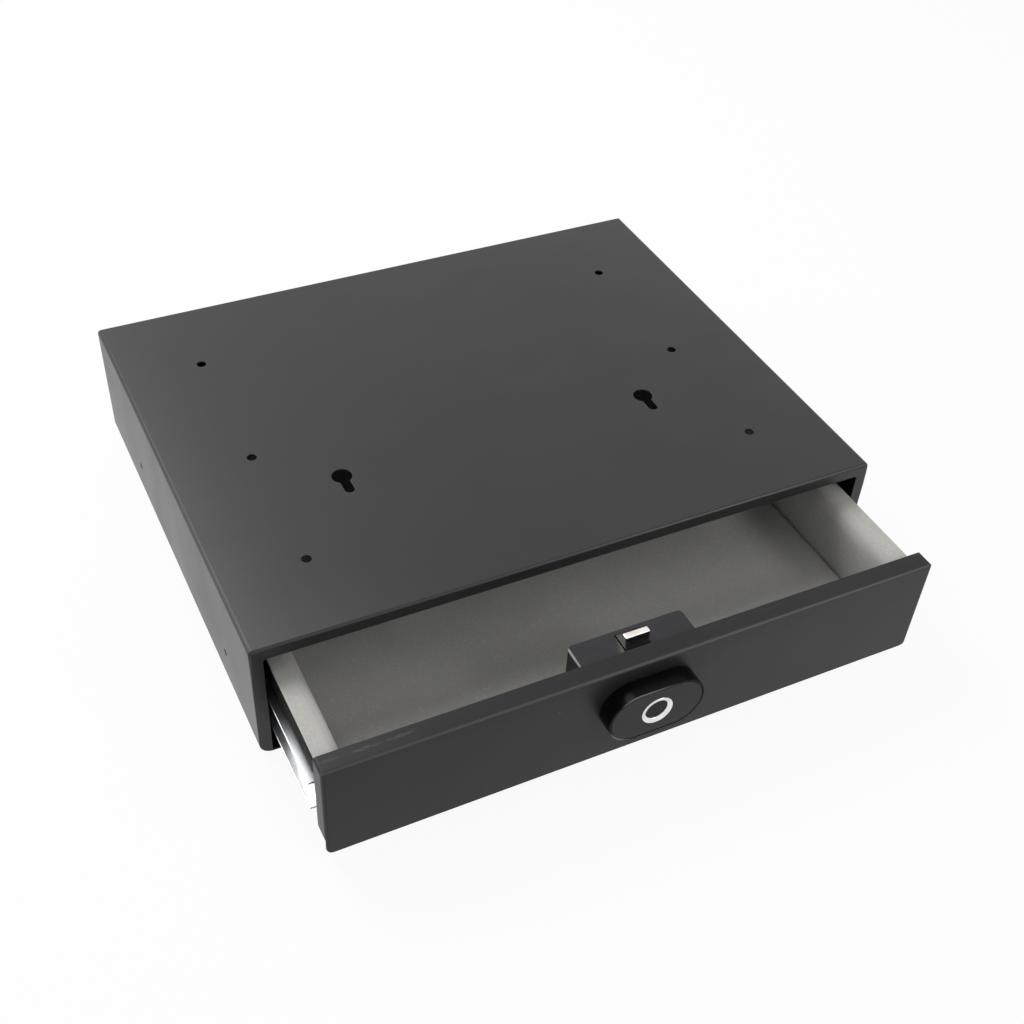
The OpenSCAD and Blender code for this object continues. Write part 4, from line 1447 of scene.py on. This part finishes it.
@dataclass
class Studio:
    """The camera at the photograph's viewpoint, a white floor, and soft lamps."""

    eye: tuple[float, float, float] = (-311.08, -641.15, 621.41)
    right: tuple[float, float, float] = (0.89971, -0.43425, 0.04413)
    up: tuple[float, float, float] = (0.27473, 0.64193, 0.71586)
    lens: float = 48.39
    sensor: float = 36.0
    shift: tuple[float, float] = (0.0079, 0.0559)
    floor_half: float = 6000.0
    floor_gap: float = 0.3
    floor_white: float = 0.93
    ambient: float = 0.37
    lamps: tuple[Lamp, ...] = (
        # From behind, for the top and the felt
        Lamp("rear_key", (1000, 1000), 19.0, (-500, 950, 1450), (0, 0, 40)),
        # For the bends that face the viewer
        Lamp("right_front", (550, 450), 4.5, (900, -1200, 900), (50, -200, 40)),
        # For the left side and the edges beside it
        Lamp("left_rear", (350, 350), 2.0, (-1000, 650, 450), (-100, 0, 40)),
    )

    def camera(self) -> None:
        """Places the camera."""
        data = bpy.data.cameras.new("viewpoint")
        data.lens = self.lens
        data.sensor_width = self.sensor
        data.shift_x, data.shift_y = self.shift
        data.clip_end = 100.0
        obj = bpy.data.objects.new("viewpoint", data)
        right = Vector(self.right).normalized()
        up = (Vector(self.up) - Vector(self.up).dot(right) * right).normalized()
        place = Matrix((right, up, right.cross(up))).transposed().to_4x4()
        place.translation = Vector(self.eye) * MM
        obj.matrix_world = place
        bpy.context.scene.collection.objects.link(obj)
        bpy.context.scene.camera = obj

    def white_shown(
        self, tree: bpy.types.NodeTree, share: float, plain: bpy.types.NodeSocket
    ) -> bpy.types.NodeSocket:
        """Mixes plain white into what the camera and mirror-like surfaces see of a surface.

        Args:
            tree: The surface's tree.
            share: How much of it they see as plain white.
            plain: The surface as the light reaches it.

        Returns:
            The mixed surface.
        """
        rays = add_node(tree, "ShaderNodeLightPath")
        seen = rays.outputs["Is Camera Ray"]
        for kind in ("Is Glossy Ray", "Is Transmission Ray"):
            inputs = {0: seen, 1: rays.outputs[kind]}
            seen = add_node(tree, "ShaderNodeMath", inputs, operation="MAXIMUM").outputs[0]
        part = add_node(tree, "ShaderNodeMath", {0: seen, 1: share}, operation="MULTIPLY")
        sky = plain.node.bl_idname == "ShaderNodeBackground"
        kind = "ShaderNodeBackground" if sky else "ShaderNodeEmission"
        glow = add_node(tree, kind, {"Color": WHITE, "Strength": 1.0})
        inputs = {0: part.outputs[0], 1: plain, 2: glow.outputs[0]}
        return add_node(tree, "ShaderNodeMixShader", inputs).outputs[0]

    def floor(self) -> None:
        """Lays the floor just under the safe, clear from below to show the safe's underside."""
        half, drop = self.floor_half, -self.floor_gap
        corners = ((-half, -half), (half, -half), (half, half), (-half, half))
        shape = bmesh.new()
        shape.faces.new([shape.verts.new((x, y, drop)) for x, y in corners])
        obj = new_object("floor", shape)
        material = bpy.data.materials.new("White floor")
        material.use_nodes = True
        tree = material.node_tree
        shader = tree.nodes["Principled BSDF"]
        shader.inputs["Base Color"].default_value = (0.95, 0.95, 0.95, 1)
        shader.inputs["Roughness"].default_value = 0.9
        shader.inputs["Specular IOR Level"].default_value = 0.0
        shown = self.white_shown(tree, self.floor_white, shader.outputs[0])
        below = add_node(tree, "ShaderNodeNewGeometry").outputs["Backfacing"]
        clear = add_node(tree, "ShaderNodeBsdfTransparent").outputs[0]
        surface = add_node(tree, "ShaderNodeMixShader", {0: below, 1: shown, 2: clear}).outputs[0]
        tree.links.new(surface, tree.nodes["Material Output"].inputs["Surface"])
        obj.data.materials.append(material)

    def world(self) -> None:
        """Fills the room with even light and shows it white."""
        world = bpy.data.worlds.new("studio")
        world.use_nodes = True
        tree = world.node_tree
        plain = tree.nodes["Background"]
        plain.inputs["Color"].default_value = WHITE
        plain.inputs["Strength"].default_value = self.ambient
        surface = self.white_shown(tree, 1.0, plain.outputs[0])
        tree.links.new(surface, tree.nodes["World Output"].inputs["Surface"])
        bpy.context.scene.world = world
        bpy.context.scene.view_settings.view_transform = "Standard"

    def build(self) -> None:
        """Sets up the whole studio."""
        self.camera()
        self.floor()
        self.world()
        for lamp in self.lamps:
            lamp.hang()


@dataclass
class CaseAssembly:
    """The folded steel case with its base, its rear panel, the strike and the rubber bumpers."""

    half_w: float = 200.0
    front: float = -158.5
    height: float = 84.0
    opening_half: float = 192.5
    opening_top: float = 76.0
    edge: float = 0.25
    front_fold: float = 2.0
    strike_edge: float = 0.5
    bumper_d: float = 10.0
    bumper_l: float = 8.0
    bumper_x: float = 140.0
    bumper_z: float = 30.0
    bumper_y: float = 157.3

    def sheet_metal(self) -> None:
        """Rounds the folds and edges of the case's sheets."""
        f, w, h = self.front, self.half_w, self.height
        folds = [
            Fold((-w, f, self.opening_top + 2), (w, f, h), self.front_fold),
            Fold((-w, f, 9), (-self.opening_half - 1, f, h), self.front_fold),
            Fold((self.opening_half + 1, f, 9), (w, f, h), self.front_fold),
        ]
        shell = softened("case_shell", self.edge, folds, segments=4)
        hand_over(shell, ["case_shell"], Body.CASE, Slot.COAT)
        for node in ("base_panel", "rear_panel"):
            hand_over(softened(node, self.edge), [node], Body.CASE, Slot.COAT)
        strike = softened("strike_bracket", self.strike_edge, segments=3)
        hand_over(strike, ["strike_bracket"], Body.CASE, Slot.ZINC)

    def bumpers(self) -> None:
        """Turns the two rubber bumpers that stop the drawer."""
        r, l = self.bumper_d / 2, self.bumper_l
        outline = [(0, 0), (r - 0.4, 0), (r, 0.4), (r * 0.94, l * 0.45), (r * 0.9, l - 1.6)]
        outline += [(r * 0.78, l - 0.5), (r * 0.55, l), (0, l)]
        facing = Matrix.Rotation(math.pi / 2, 4, "X")
        spots = [(side * self.bumper_x, self.bumper_y, self.bumper_z) for side in (-1, 1)]
        places = [Matrix.Translation(spot) @ facing for spot in spots]
        both = gathered(turned("bumper", outline, 40, place) for place in places)
        pair = new_object("drawer_bumpers_dressed", both)
        hand_over(pair, ["drawer_bumpers"], Body.CASE, Slot.RUBBER)

    def build(self) -> None:
        """Makes every piece of the case."""
        self.sheet_metal()
        self.bumpers()


@dataclass
class SideSlides:
    """The two ball bearing slides with their cages, balls and screws."""

    side_in: float = 198.8
    pan_half: float = 186.1
    sheet: float = 1.2
    axis_z: float = 30.0
    screw_ys: tuple[float, float] = (-103.5, 76.5)
    drawer_open: float = 80.0
    ball: BearingBall = BearingBall(4.75)
    ball_rows: int = 6
    ball_rise: float = 13.775
    rail_edge: float = 0.45
    cage_edge: float = 0.2
    case_screw: PanScrew = PanScrew(7.0, 2.2, 4.0, 2.3)
    drawer_screw: PanScrew = PanScrew(7.0, 2.2, 4.0, 2.4)

    def rails(self) -> None:
        """Rounds the rolled rails and cages."""
        for side, cage in (("left", Body.CAGE_LEFT), ("right", Body.CAGE_RIGHT)):
            for part, body in (("case", Body.CASE), ("drawer", Body.DRAWER)):
                node = f"slide_{part}_member_{side}"
                hand_over(softened(node, self.rail_edge, segments=3), [node], body, Slot.ZINC)
            node = f"ball_cage_{side}"
            hand_over(softened(node, self.cage_edge), [node], cage, Slot.ZINC)

    def bearings(self) -> None:
        """Puts the balls into the cages."""
        low, high = in_mm(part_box("balls_right"))
        first = low.y + self.ball.diameter / 2
        pitch = ((low.y + high.y) / 2 - first) * 2 / (self.ball_rows - 1)
        for sign, side, cage in ((-1, "left", Body.CAGE_LEFT), (1, "right", Body.CAGE_RIGHT)):
            x = (low.x + high.x) / 2 * sign
            ys = [first + pitch * i for i in range(self.ball_rows)]
            points = [(x, y, self.axis_z + up * self.ball_rise) for y in ys for up in (-1, 1)]
            fasten(self.ball, f"balls_{side}", points, [(0, 0, 1)] * len(points), cage, Slot.NICKEL)

    def screws(self) -> None:
        """Puts in the screws that hold the rails."""
        inner, outer = self.side_in - self.sheet, self.pan_half + self.sheet
        # The heads in the case face inwards, and those in the drawer outwards
        for screw, part, x, back, way, body, finish in (
            # Their black is partly painted shade for the holes in the case's sides
            (self.case_screw, "case", inner, 0, -1, Body.CASE, SCREW_BLACK_AND_SHADE),
            (self.drawer_screw, "drawer", outer, self.drawer_open, 1, Body.DRAWER, None),
        ):
            points = [(s * x, y - back, self.axis_z) for s in (-1, 1) for y in self.screw_ys]
            facing = [(way * p[0], 0, 0) for p in points]
            fasten(screw, f"{part}_slide_screws", points, facing, body, Slot.ZINC, finish)

    def build(self) -> None:
        """Makes every piece of the slides."""
        self.rails()
        self.bearings()
        self.screws()


@dataclass
class DrawerBox:
    """The drawer's pan, its front panel and the nuts between them."""

    nut: HexNut = HexNut(7.0, 3.2, 4.05)
    nut_y: float = -236.1
    stud_z: float = 43.8
    inner_share: float = 0.35 / 0.875
    flange_end: float = 15.0
    arc_w: float = 2.1
    arc_slack: float = 0.1
    arc_front: float = -237.4
    arc_rear: float = -236.5
    pan_edge: float = 0.25
    edge: float = 0.3
    long_edge: float = 0.5

    def build(self) -> None:
        """Makes every piece of the drawer's steel."""
        pan = softened("drawer_pan", self.pan_edge)
        # The pan's flat black is partly painted shade for the gap beside the drawer
        hand_over(pan, ["drawer_pan"], Body.DRAWER, Slot.COAT, PAN_BLACK_AND_SHADE)
        x, y, top = in_mm(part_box("front_panel"))[1]
        step = self.flange_end
        folds = []
        for side in (-1, 1):
            near, far = sorted((side * (x + self.arc_slack), side * (x - self.arc_w)))
            # Where the flange ends above the lip, its short arcs keep their square edges
            folds.append(Fold((near, self.arc_front, step), (far, self.arc_rear, step), 0.0))
        folds.append(Fold((-x, y, step), (x, y, top), self.long_edge))
        panel = softened("front_panel", self.edge, folds, segments=3)
        hand_over(panel, ["front_panel"], Body.DRAWER, Slot.PANEL_COAT)
        half = self.nut.across / math.sqrt(3)
        outer = in_mm(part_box("front_panel_nuts"))[1].x - half
        inner = outer * self.inner_share
        points = [(x, self.nut_y, self.stud_z) for x in (-outer, -inner, inner, outer)]
        fasten(self.nut, "front_panel_nuts", points, [(0, 1, 0)] * 4, Body.DRAWER, Slot.ZINC)


@dataclass
class FeltLinings:
    """The felt covered foam on the drawer's walls and floor, swollen by a cloth simulation."""

    step_x: float = 184.6
    rim_x: float = 186.6
    step_z: float = 50.9
    cap_z: float = 63.1
    rounding: float = 7.0
    cap_rounding: float = 0.5
    along: float = 5.0
    across: float = 3.0
    pressure: float = 4.0
    frames: int = 20
    swell: float = 0.5
    start_in: float = 0.5
    wall_gap: float = 0.1
    crown_share: float = 0.4
    crown_w: float = 4.0
    end_band: float = 1.0
    rear_soft: float = 6.0
    floor_top: float = 24.7
    floor_foot: float = 4.0
    floor_skin: float = 1.2
    cell: float = 6.0
    notch_half: float = 37.4
    notch_rear: float = -206.6
    rear_front: float = 54.0

    @staticmethod
    def filled(points: Sequence[tuple[float, float]], gap: float) -> list[tuple[float, float]]:
        """Adds points to an outline's long stretches.

        Args:
            points: The closed outline.
            gap: The longest stretch that is left.

        Returns:
            The finer outline.
        """
        finer = []
        for (x0, z0), (x1, z1) in zip(points, list(points[1:]) + [points[0]]):
            w, h = x1 - x0, z1 - z0
            count = max(1, math.ceil(math.hypot(w, h) / gap))
            finer += [(x0 + w * i / count, z0 + h * i / count) for i in range(count)]
        return finer

    @staticmethod
    def arc(
        centre: tuple[float, float], radius: float, start: float, end: float, steps: int
    ) -> list[tuple[float, float]]:
        """Lists the points of an arc.

        Args:
            centre: Its centre.
            radius: Its radius.
            start: Its first angle, in degrees.
            end: Its last angle, in degrees.
            steps: Its stretches.

        Returns:
            The points.
        """
        turns = [math.radians(start + (end - start) * i / steps) for i in range(steps + 1)]
        return [(centre[0] + radius * math.cos(t), centre[1] + radius * math.sin(t)) for t in turns]

    def swept(
        self,
        name: str,
        outline: Sequence[tuple[float, float]],
        start: float,
        end: float,
        frame_of: Matrix,
    ) -> bpy.types.Object:
        """Sweeps an outline along a wall and closes its ends.

        Args:
            name: The object's name.
            outline: The closed outline: across the wall, and up.
            start: Where the sweep starts.
            end: Where the sweep ends.
            frame_of: Turns (across, along, up) into the model's axes.

        Returns:
            The object.
        """
        shape = bmesh.new()
        count = max(2, round(abs(end - start) / self.along))
        rings = []
        for i in range(count + 1):
            y = start + (end - start) * i / count
            rings.append([shape.verts.new(frame_of @ Vector((x, y, z))) for x, z in outline])
        for low, high in zip(rings, rings[1:]):
            for i in range(len(outline)):
                j = (i + 1) % len(outline)
                shape.faces.new((low[i], low[j], high[j], high[i]))
        caps = [shape.faces.new(rings[0]), shape.faces.new(rings[-1])]
        bmesh.ops.triangulate(shape, faces=caps)
        bmesh.ops.recalc_face_normals(shape, faces=shape.faces)
        return new_object(name, shape)

    def hold(self, obj: bpy.types.Object, held: Callable[[Vector], bool]) -> None:
        """Marks the points that are glued to the steel.

        Args:
            obj: The lining.
            held: Tells for a point in millimetres whether it is held.
        """
        group = obj.vertex_groups.new(name="glued")
        group.add([v.index for v in obj.data.vertices if held(v.co / MM)], 1.0, "REPLACE")

    def sides(self) -> list[bpy.types.Object]:
        """Makes the linings of the two side walls.

        Returns:
            The left lining and the right one.
        """
        low, high = in_mm(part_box("side_lining_right"))
        inner, outer = low.x + self.start_in, high.x - self.wall_gap
        bottom, top = low.z, high.z - self.start_in
        r, c = self.rounding, self.cap_rounding
        outline = [(self.step_x, bottom), (self.step_x, self.step_z), (self.rim_x, self.step_z)]
        outline += [(self.rim_x, self.cap_z), (outer, self.cap_z)]
        outline += self.arc((outer - c, top - c), c, 0, 90, 2)
        outline += self.arc((inner + r, top - r), r, 90, 180, 9)
        outline += [(inner, bottom)]
        outline = self.filled(outline, self.across)
        edge = inner + r * self.crown_share

        def held(p: Vector) -> bool:
            """Tells whether the lining is glued at a point.

            Args:
                p: The point.

            Returns:
                Whether it is.
            """
            # The wall stays put beside the floor's and the rear's linings, so that none meet
            beside = p.z < self.floor_top or p.y > self.rear_front
            below = abs(p.x) > edge and p.z < top - self.end_band
            return beside or below or abs(p.x) > edge + self.crown_w

        pads = []
        for sign, side in ((-1, "left"), (1, "right")):
            turn = Matrix.Diagonal((sign, 1, 1))
            pad = self.swept(f"side_lining_{side}_felt", outline, low.y, high.y, turn)
            self.hold(pad, held)
            pads.append(pad)
        return pads

    def rear(self) -> bpy.types.Object:
        """Makes the lining of the rear wall.

        Returns:
            The lining.
        """
        low, high = in_mm(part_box("rear_lining"))
        front, back = low.y + self.start_in, high.y
        bottom, top = low.z, high.z - self.start_in
        r, c = self.rounding, self.cap_rounding
        outline = [(back, bottom), (back, top - c), (back - c, top)]
        outline += self.arc((front + r, top - r), r, 90, 180, 9) + [(front, bottom)]
        outline = self.filled(outline, self.across)
        turn = Matrix(((0, 1, 0), (1, 0, 0), (0, 0, 1)))
        pad = self.swept("rear_lining_felt", outline, low.x, high.x, turn)

        def held(p: Vector) -> bool:
            """Tells whether the lining is glued at a point."""
            ends = p.x < low.x + self.end_band or p.x > high.x - self.end_band
            return p.y > front + self.rear_soft or p.z < self.floor_top or ends

        self.hold(pad, held)
        return pad

    def floor(self) -> bpy.types.Object:
        """Makes the floor's lining with its notch for the lock housing.

        Returns:
            The lining.
        """
        low, high = in_mm(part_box("floor_lining"))
        bottom, top = low.z, high.z - self.start_in
        n = self.notch_half

        def lines(stops: Sequence[float]) -> list[float]:
            """Divides stretches into even cells.

            Args:
                stops: Where the stretches start and end.

            Returns:
                The cells' edges.
            """
            out = [stops[0]]
            for a, b in zip(stops, stops[1:]):
                count = max(1, round((b - a) / self.cell))
                out += [a + (b - a) * (i + 1) / count for i in range(count)]
            return out

        xs = lines([low.x, -n, n, high.x])
        ys = lines([low.y, self.notch_rear, high.y])
        zs = [bottom, bottom + self.floor_foot, top - self.floor_skin, top]
        shape = bmesh.new()
        grid: dict[tuple[int, int, int], bmesh.types.BMVert] = {}
        cells = set()
        for i in range(len(xs) - 1):
            for j in range(len(ys) - 1):
                in_notch = abs(xs[i] + xs[i + 1]) / 2 <= n and ys[j + 1] <= self.notch_rear + 1e-3
                if not in_notch:
                    cells.add((i, j))

        def at(i: int, j: int, k: int) -> bmesh.types.BMVert:
            """Gives the grid's point, made when it is first needed."""
            if (i, j, k) not in grid:
                grid[i, j, k] = shape.verts.new((xs[i], ys[j], zs[k]))
            return grid[i, j, k]

        last = len(zs) - 1
        for i, j in sorted(cells):
            round_cell = ((i, j), (i + 1, j), (i + 1, j + 1), (i, j + 1))
            shape.faces.new([at(*corner, last) for corner in round_cell])
            shape.faces.new([at(*corner, 0) for corner in round_cell[:1] + round_cell[:0:-1]])
            # Each neighbour that is missing leaves a wall between two of the cell's corners
            for near, a, b in (
                ((i - 1, j), (i, j + 1), (i, j)),
                ((i + 1, j), (i + 1, j), (i + 1, j + 1)),
                ((i, j - 1), (i, j), (i + 1, j)),
                ((i, j + 1), (i + 1, j + 1), (i, j + 1)),
            ):
                if near not in cells:
                    for k in range(last):
                        shape.faces.new([at(*a, k), at(*b, k), at(*b, k + 1), at(*a, k + 1)])
        bmesh.ops.recalc_face_normals(shape, faces=shape.faces)
        pad = new_object("floor_lining_felt", shape)
        self.hold(pad, lambda p: p.z < top - self.floor_skin / 2)
        return pad

    def inflate(self, pads: Sequence[bpy.types.Object]) -> None:
        """Lets the foam swell under its felt and caps how far each point moves.

        Args:
            pads: The linings, each with the points that are glued.
        """
        scene = bpy.context.scene
        for pad in pads:
            cloth = pad.modifiers.new("foam", "CLOTH")
            cloth.settings.use_pressure = True
            cloth.settings.uniform_pressure_force = self.pressure
            cloth.settings.effector_weights.gravity = 0.0
            cloth.settings.vertex_group_mass = "glued"
            cloth.collision_settings.use_collision = False
            cloth.collision_settings.use_self_collision = False
            cloth.point_cache.frame_start = 1
            cloth.point_cache.frame_end = self.frames
        for number in range(1, self.frames + 1):
            scene.frame_set(number)
        graph = bpy.context.evaluated_depsgraph_get()
        for pad in pads:
            puffed = [v.co.copy() for v in pad.evaluated_get(graph).data.vertices]
            for vertex, target in zip(pad.data.vertices, puffed):
                move = target - vertex.co
                if move.length > self.swell * MM:
                    move *= self.swell * MM / move.length
                vertex.co += move
        for pad in pads:
            pad.modifiers.clear()
        scene.frame_set(1)

    def build(self) -> None:
        """Makes, swells and hands over the four linings."""
        pads = [*self.sides(), self.rear(), self.floor()]
        nodes = ("side_lining_left", "side_lining_right", "rear_lining", "floor_lining")
        self.inflate(pads)
        for pad, node in zip(pads, nodes):
            pad.vertex_groups.clear()
            finer = pad.modifiers.new("finer", "SUBSURF")
            finer.levels = finer.render_levels = 1
            for face in pad.data.polygons:
                face.use_smooth = True
            bake(pad)
            hand_over(pad, [node], Body.DRAWER, Slot.FELT)


@dataclass
class LockAssembly:
    """The lock housing behind the front panel with its bolt, spring, solenoid and covers."""

    bolt_edge: float = 0.75
    bolt_shoulder: float = 67.4
    spring_d: float = 8.6
    spring_wire: float = 0.8
    spring_turns: float = 6.0
    coil_d: float = 11.8
    coil_wire: float = 0.55
    screw: PanScrew = PanScrew(6.0, 2.0, 3.0, 6.8)
    fine_edge: float = 0.3
    skin_share: float = 0.4
    skin_sink: float = 1.2

    def bodies(self) -> None:
        """Rounds the moulded and machined pieces."""
        (x, y, z), (far_x, far_y, far_z) = in_mm(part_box("latch_bolt"))
        folds = [
            Fold((x, y, self.bolt_shoulder), (far_x, far_y, far_z), self.bolt_edge),
            Fold((x, y, z), (far_x, y, far_z), self.bolt_edge),
            Fold((x, far_y, z), (far_x, far_y, far_z), self.bolt_edge),
        ]
        bolt = softened("latch_bolt", self.fine_edge, folds, segments=4)
        hand_over(bolt, ["latch_bolt"], Body.BOLT, Slot.NICKEL)
        for node, width, body, slot in (
            ("lock_housing", 0.4, Body.DRAWER, Slot.HOUSING),
            ("battery_cover", 0.3, Body.DRAWER, Slot.HOUSING),
            ("set_button", 0.3, Body.BUTTON, Slot.HOUSING),
            ("plunger", 0.2, Body.BOLT, Slot.ZINC),
            ("plunger_pin", 0.15, Body.BOLT, Slot.NICKEL),
            ("solenoid_frame", 0.2, Body.DRAWER, Slot.ZINC),
        ):
            hand_over(softened(node, width, segments=3), [node], body, slot)

    def spring(self) -> None:
        """Winds the spring that lifts the bolt."""
        low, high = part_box("latch_spring")
        tall = (high.z - low.z) / MM
        turns = self.spring_turns
        coil = WireHelix(self.spring_d, self.spring_wire, turns, tall, steps=28, sides=10)
        centre = ((low.x + high.x) / 2 / MM, (low.y + high.y) / 2 / MM, low.z / MM)
        body = Body(body_of(frame["nodes"]["latch_spring"])[0])
        obj = fasten(coil, "latch_spring", [centre], [(0, 0, 1)], body, Slot.NICKEL)
        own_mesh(obj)

    def winding(self) -> None:
        """Winds the solenoid's coil round its former."""
        low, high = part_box("solenoid_coil")
        tall = (high.z - low.z) / MM
        turns = math.floor(tall / self.coil_wire)
        wire = tall / (turns + 1)
        coil = WireHelix(self.coil_d, wire, float(turns), tall, sides=6)
        centre = ((low.x + high.x) / 2 / MM, (low.y + high.y) / 2 / MM, low.z / MM)
        copper = FINISHES[Slot.COPPER]
        obj = coil.pattern().run("solenoid_coil_dressed", [centre], [(0, 0, 1)], copper)
        core = merged_copy("solenoid_coil")
        middle = Vector((centre[0], centre[1], 0))
        # The former's skin sinks below the wires, so that each turn stands out
        shrink = 1 - wire / self.coil_d * self.skin_sink
        for vertex in core.verts:
            flat = Vector((vertex.co.x - middle.x, vertex.co.y - middle.y, 0))
            if flat.length > self.coil_d * self.skin_share:
                vertex.co.x, vertex.co.y = (middle + flat * shrink).xy
        core.transform(Matrix.Scale(MM, 4))
        core.from_mesh(obj.data)
        for face in core.faces:
            face.material_index = 0
        core.to_mesh(obj.data)
        core.free()
        hand_over(obj, ["solenoid_coil"], Body.DRAWER, Slot.COPPER)

    def build(self) -> None:
        """Makes every piece of the lock."""
        self.bodies()
        self.spring()
        self.winding()
        # These two hold the housing from below
        screw_pair(self.screw, "housing_screws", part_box("housing_screws"), 2, -1)


@dataclass
class PowerAndBoard:
    """The batteries, their holder and contacts, and the circuit board behind the reader."""

    cell_d: float = 10.5
    cell_l: float = 44.5
    nub_d: float = 3.8
    nub_h: float = 0.8
    screw: PanScrew = PanScrew(4.0, 1.4, 2.2, 5.7)

    def cells(self) -> None:
        """Turns the four cells, each with its nub, its crimped ends and its wrap."""
        low, high = in_mm(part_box("batteries"))
        r, l, n = self.cell_d / 2, self.cell_l, self.nub_h
        xs, ys = (low.x + r, high.x - r), (low.y + r, high.y - r)
        top, nub = l - n, self.nub_d / 2
        outline = [(0, 0), (r - 1.2, 0), (r - 0.9, 0.25), (r - 0.3, 0), (r, 0.3), (r, top - 0.35)]
        outline += [(r - 0.35, top), (r - 1, top), (r - 1.3, top - 0.3), (nub, top - 0.3)]
        outline += [(nub, l - 0.25), (nub - 0.25, l), (0, l)]
        places = []
        for i, x in enumerate(xs):
            for j, y in enumerate(ys):
                place = Matrix.Translation((x, y, low.z))
                if (i + j) % 2:
                    # Every other cell stands on its head, as in series
                    place = Matrix.Translation((x, y, low.z + l)) @ Matrix.Rotation(math.pi, 4, "X")
                places.append(place)
        whole = gathered(turned("cell", outline, 40, place) for place in places)
        hand_over(new_object("batteries_dressed", whole), ["batteries"], Body.DRAWER, Slot.CELLS)

    def build(self) -> None:
        """Makes every electric piece."""
        self.cells()
        for node, width, slot in (
            ("battery_holder", 0.25, Slot.HOUSING),
            ("battery_contacts", 0.1, Slot.NICKEL),
            ("circuit_board", 0.15, Slot.BOARD),
            ("board_components", 0.2, Slot.ELECTRONICS),
        ):
            hand_over(softened(node, width), [node], Body.DRAWER, slot)
        screw_pair(self.screw, "board_screws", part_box("board_screws"), 1, -1)


@dataclass
class ReaderAssembly:
    """The fingerprint reader on the front panel."""

    screw: PanScrew = PanScrew(5.4, 1.6, 3.0, 5.7)
    band: float = 3.0
    ring_steps: int = 96

    def ring(self) -> None:
        """Turns the bright ring with its rounded rim and the slope down to the sensor."""
        low, high = in_mm(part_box("sensor_ring"))
        rim, tall = (high.x - low.x) / 2, high.y - low.y
        bore = rim - self.band
        # Inwards from the rim and down from the top, point by point: a rounded rim, then the slope
        section = [(0.0, 0.55), (0.08, 0.28), (0.3, 0.08), (0.6, 0.0), (1.1, 0.02), (1.6, 0.14)]
        section += [(2.1, 0.42), (2.6, 0.82), (2.85, 1.05), (self.band, 1.3)]
        outline = [(bore, 0), (rim, 0)] + [(rim - inward, tall - down) for inward, down in section]
        centre = ((low.x + high.x) / 2, high.y, (low.z + high.z) / 2)
        place = Matrix.Translation(centre) @ Matrix.Rotation(math.pi / 2, 4, "X")
        shape = turned("ring", outline, self.ring_steps, place, ring=True)
        ring = new_object("sensor_ring_dressed", shape)
        hand_over(ring, ["sensor_ring"], Body.DRAWER, Slot.NICKEL, RING_FINISH)

    def build(self) -> None:
        """Makes every piece of the reader."""
        self.ring()
        for node, width, slot, finish in (
            ("reader_body", 0.4, Slot.READER, None),
            ("reader_cover", 0.4, Slot.READER, COVER_FINISH),
            ("sensor_window", 0.15, Slot.GLASS, None),
            ("sensor_module", 0.3, Slot.ELECTRONICS, None),
            ("sensor_ribbon", 0.08, Slot.ELECTRONICS, RIBBON_FINISH),
        ):
            hand_over(softened(node, width, segments=3), [node], Body.DRAWER, slot, finish)
        screw_pair(self.screw, "reader_screws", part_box("reader_screws"), 1, 1)


def main() -> None:
    """Builds the studio and each assembly in order, and reports the pieces."""
    logging.basicConfig(level=logging.INFO, format="%(name)s: %(message)s")
    Studio().build()
    groups = (CaseAssembly, SideSlides, DrawerBox, FeltLinings)
    groups += (LockAssembly, PowerAndBoard, ReaderAssembly)
    for group in groups:
        log.info("building %s", group.__name__)
        group().build()
    bpy.context.view_layer.update()


if __name__ == "__main__":
    main()
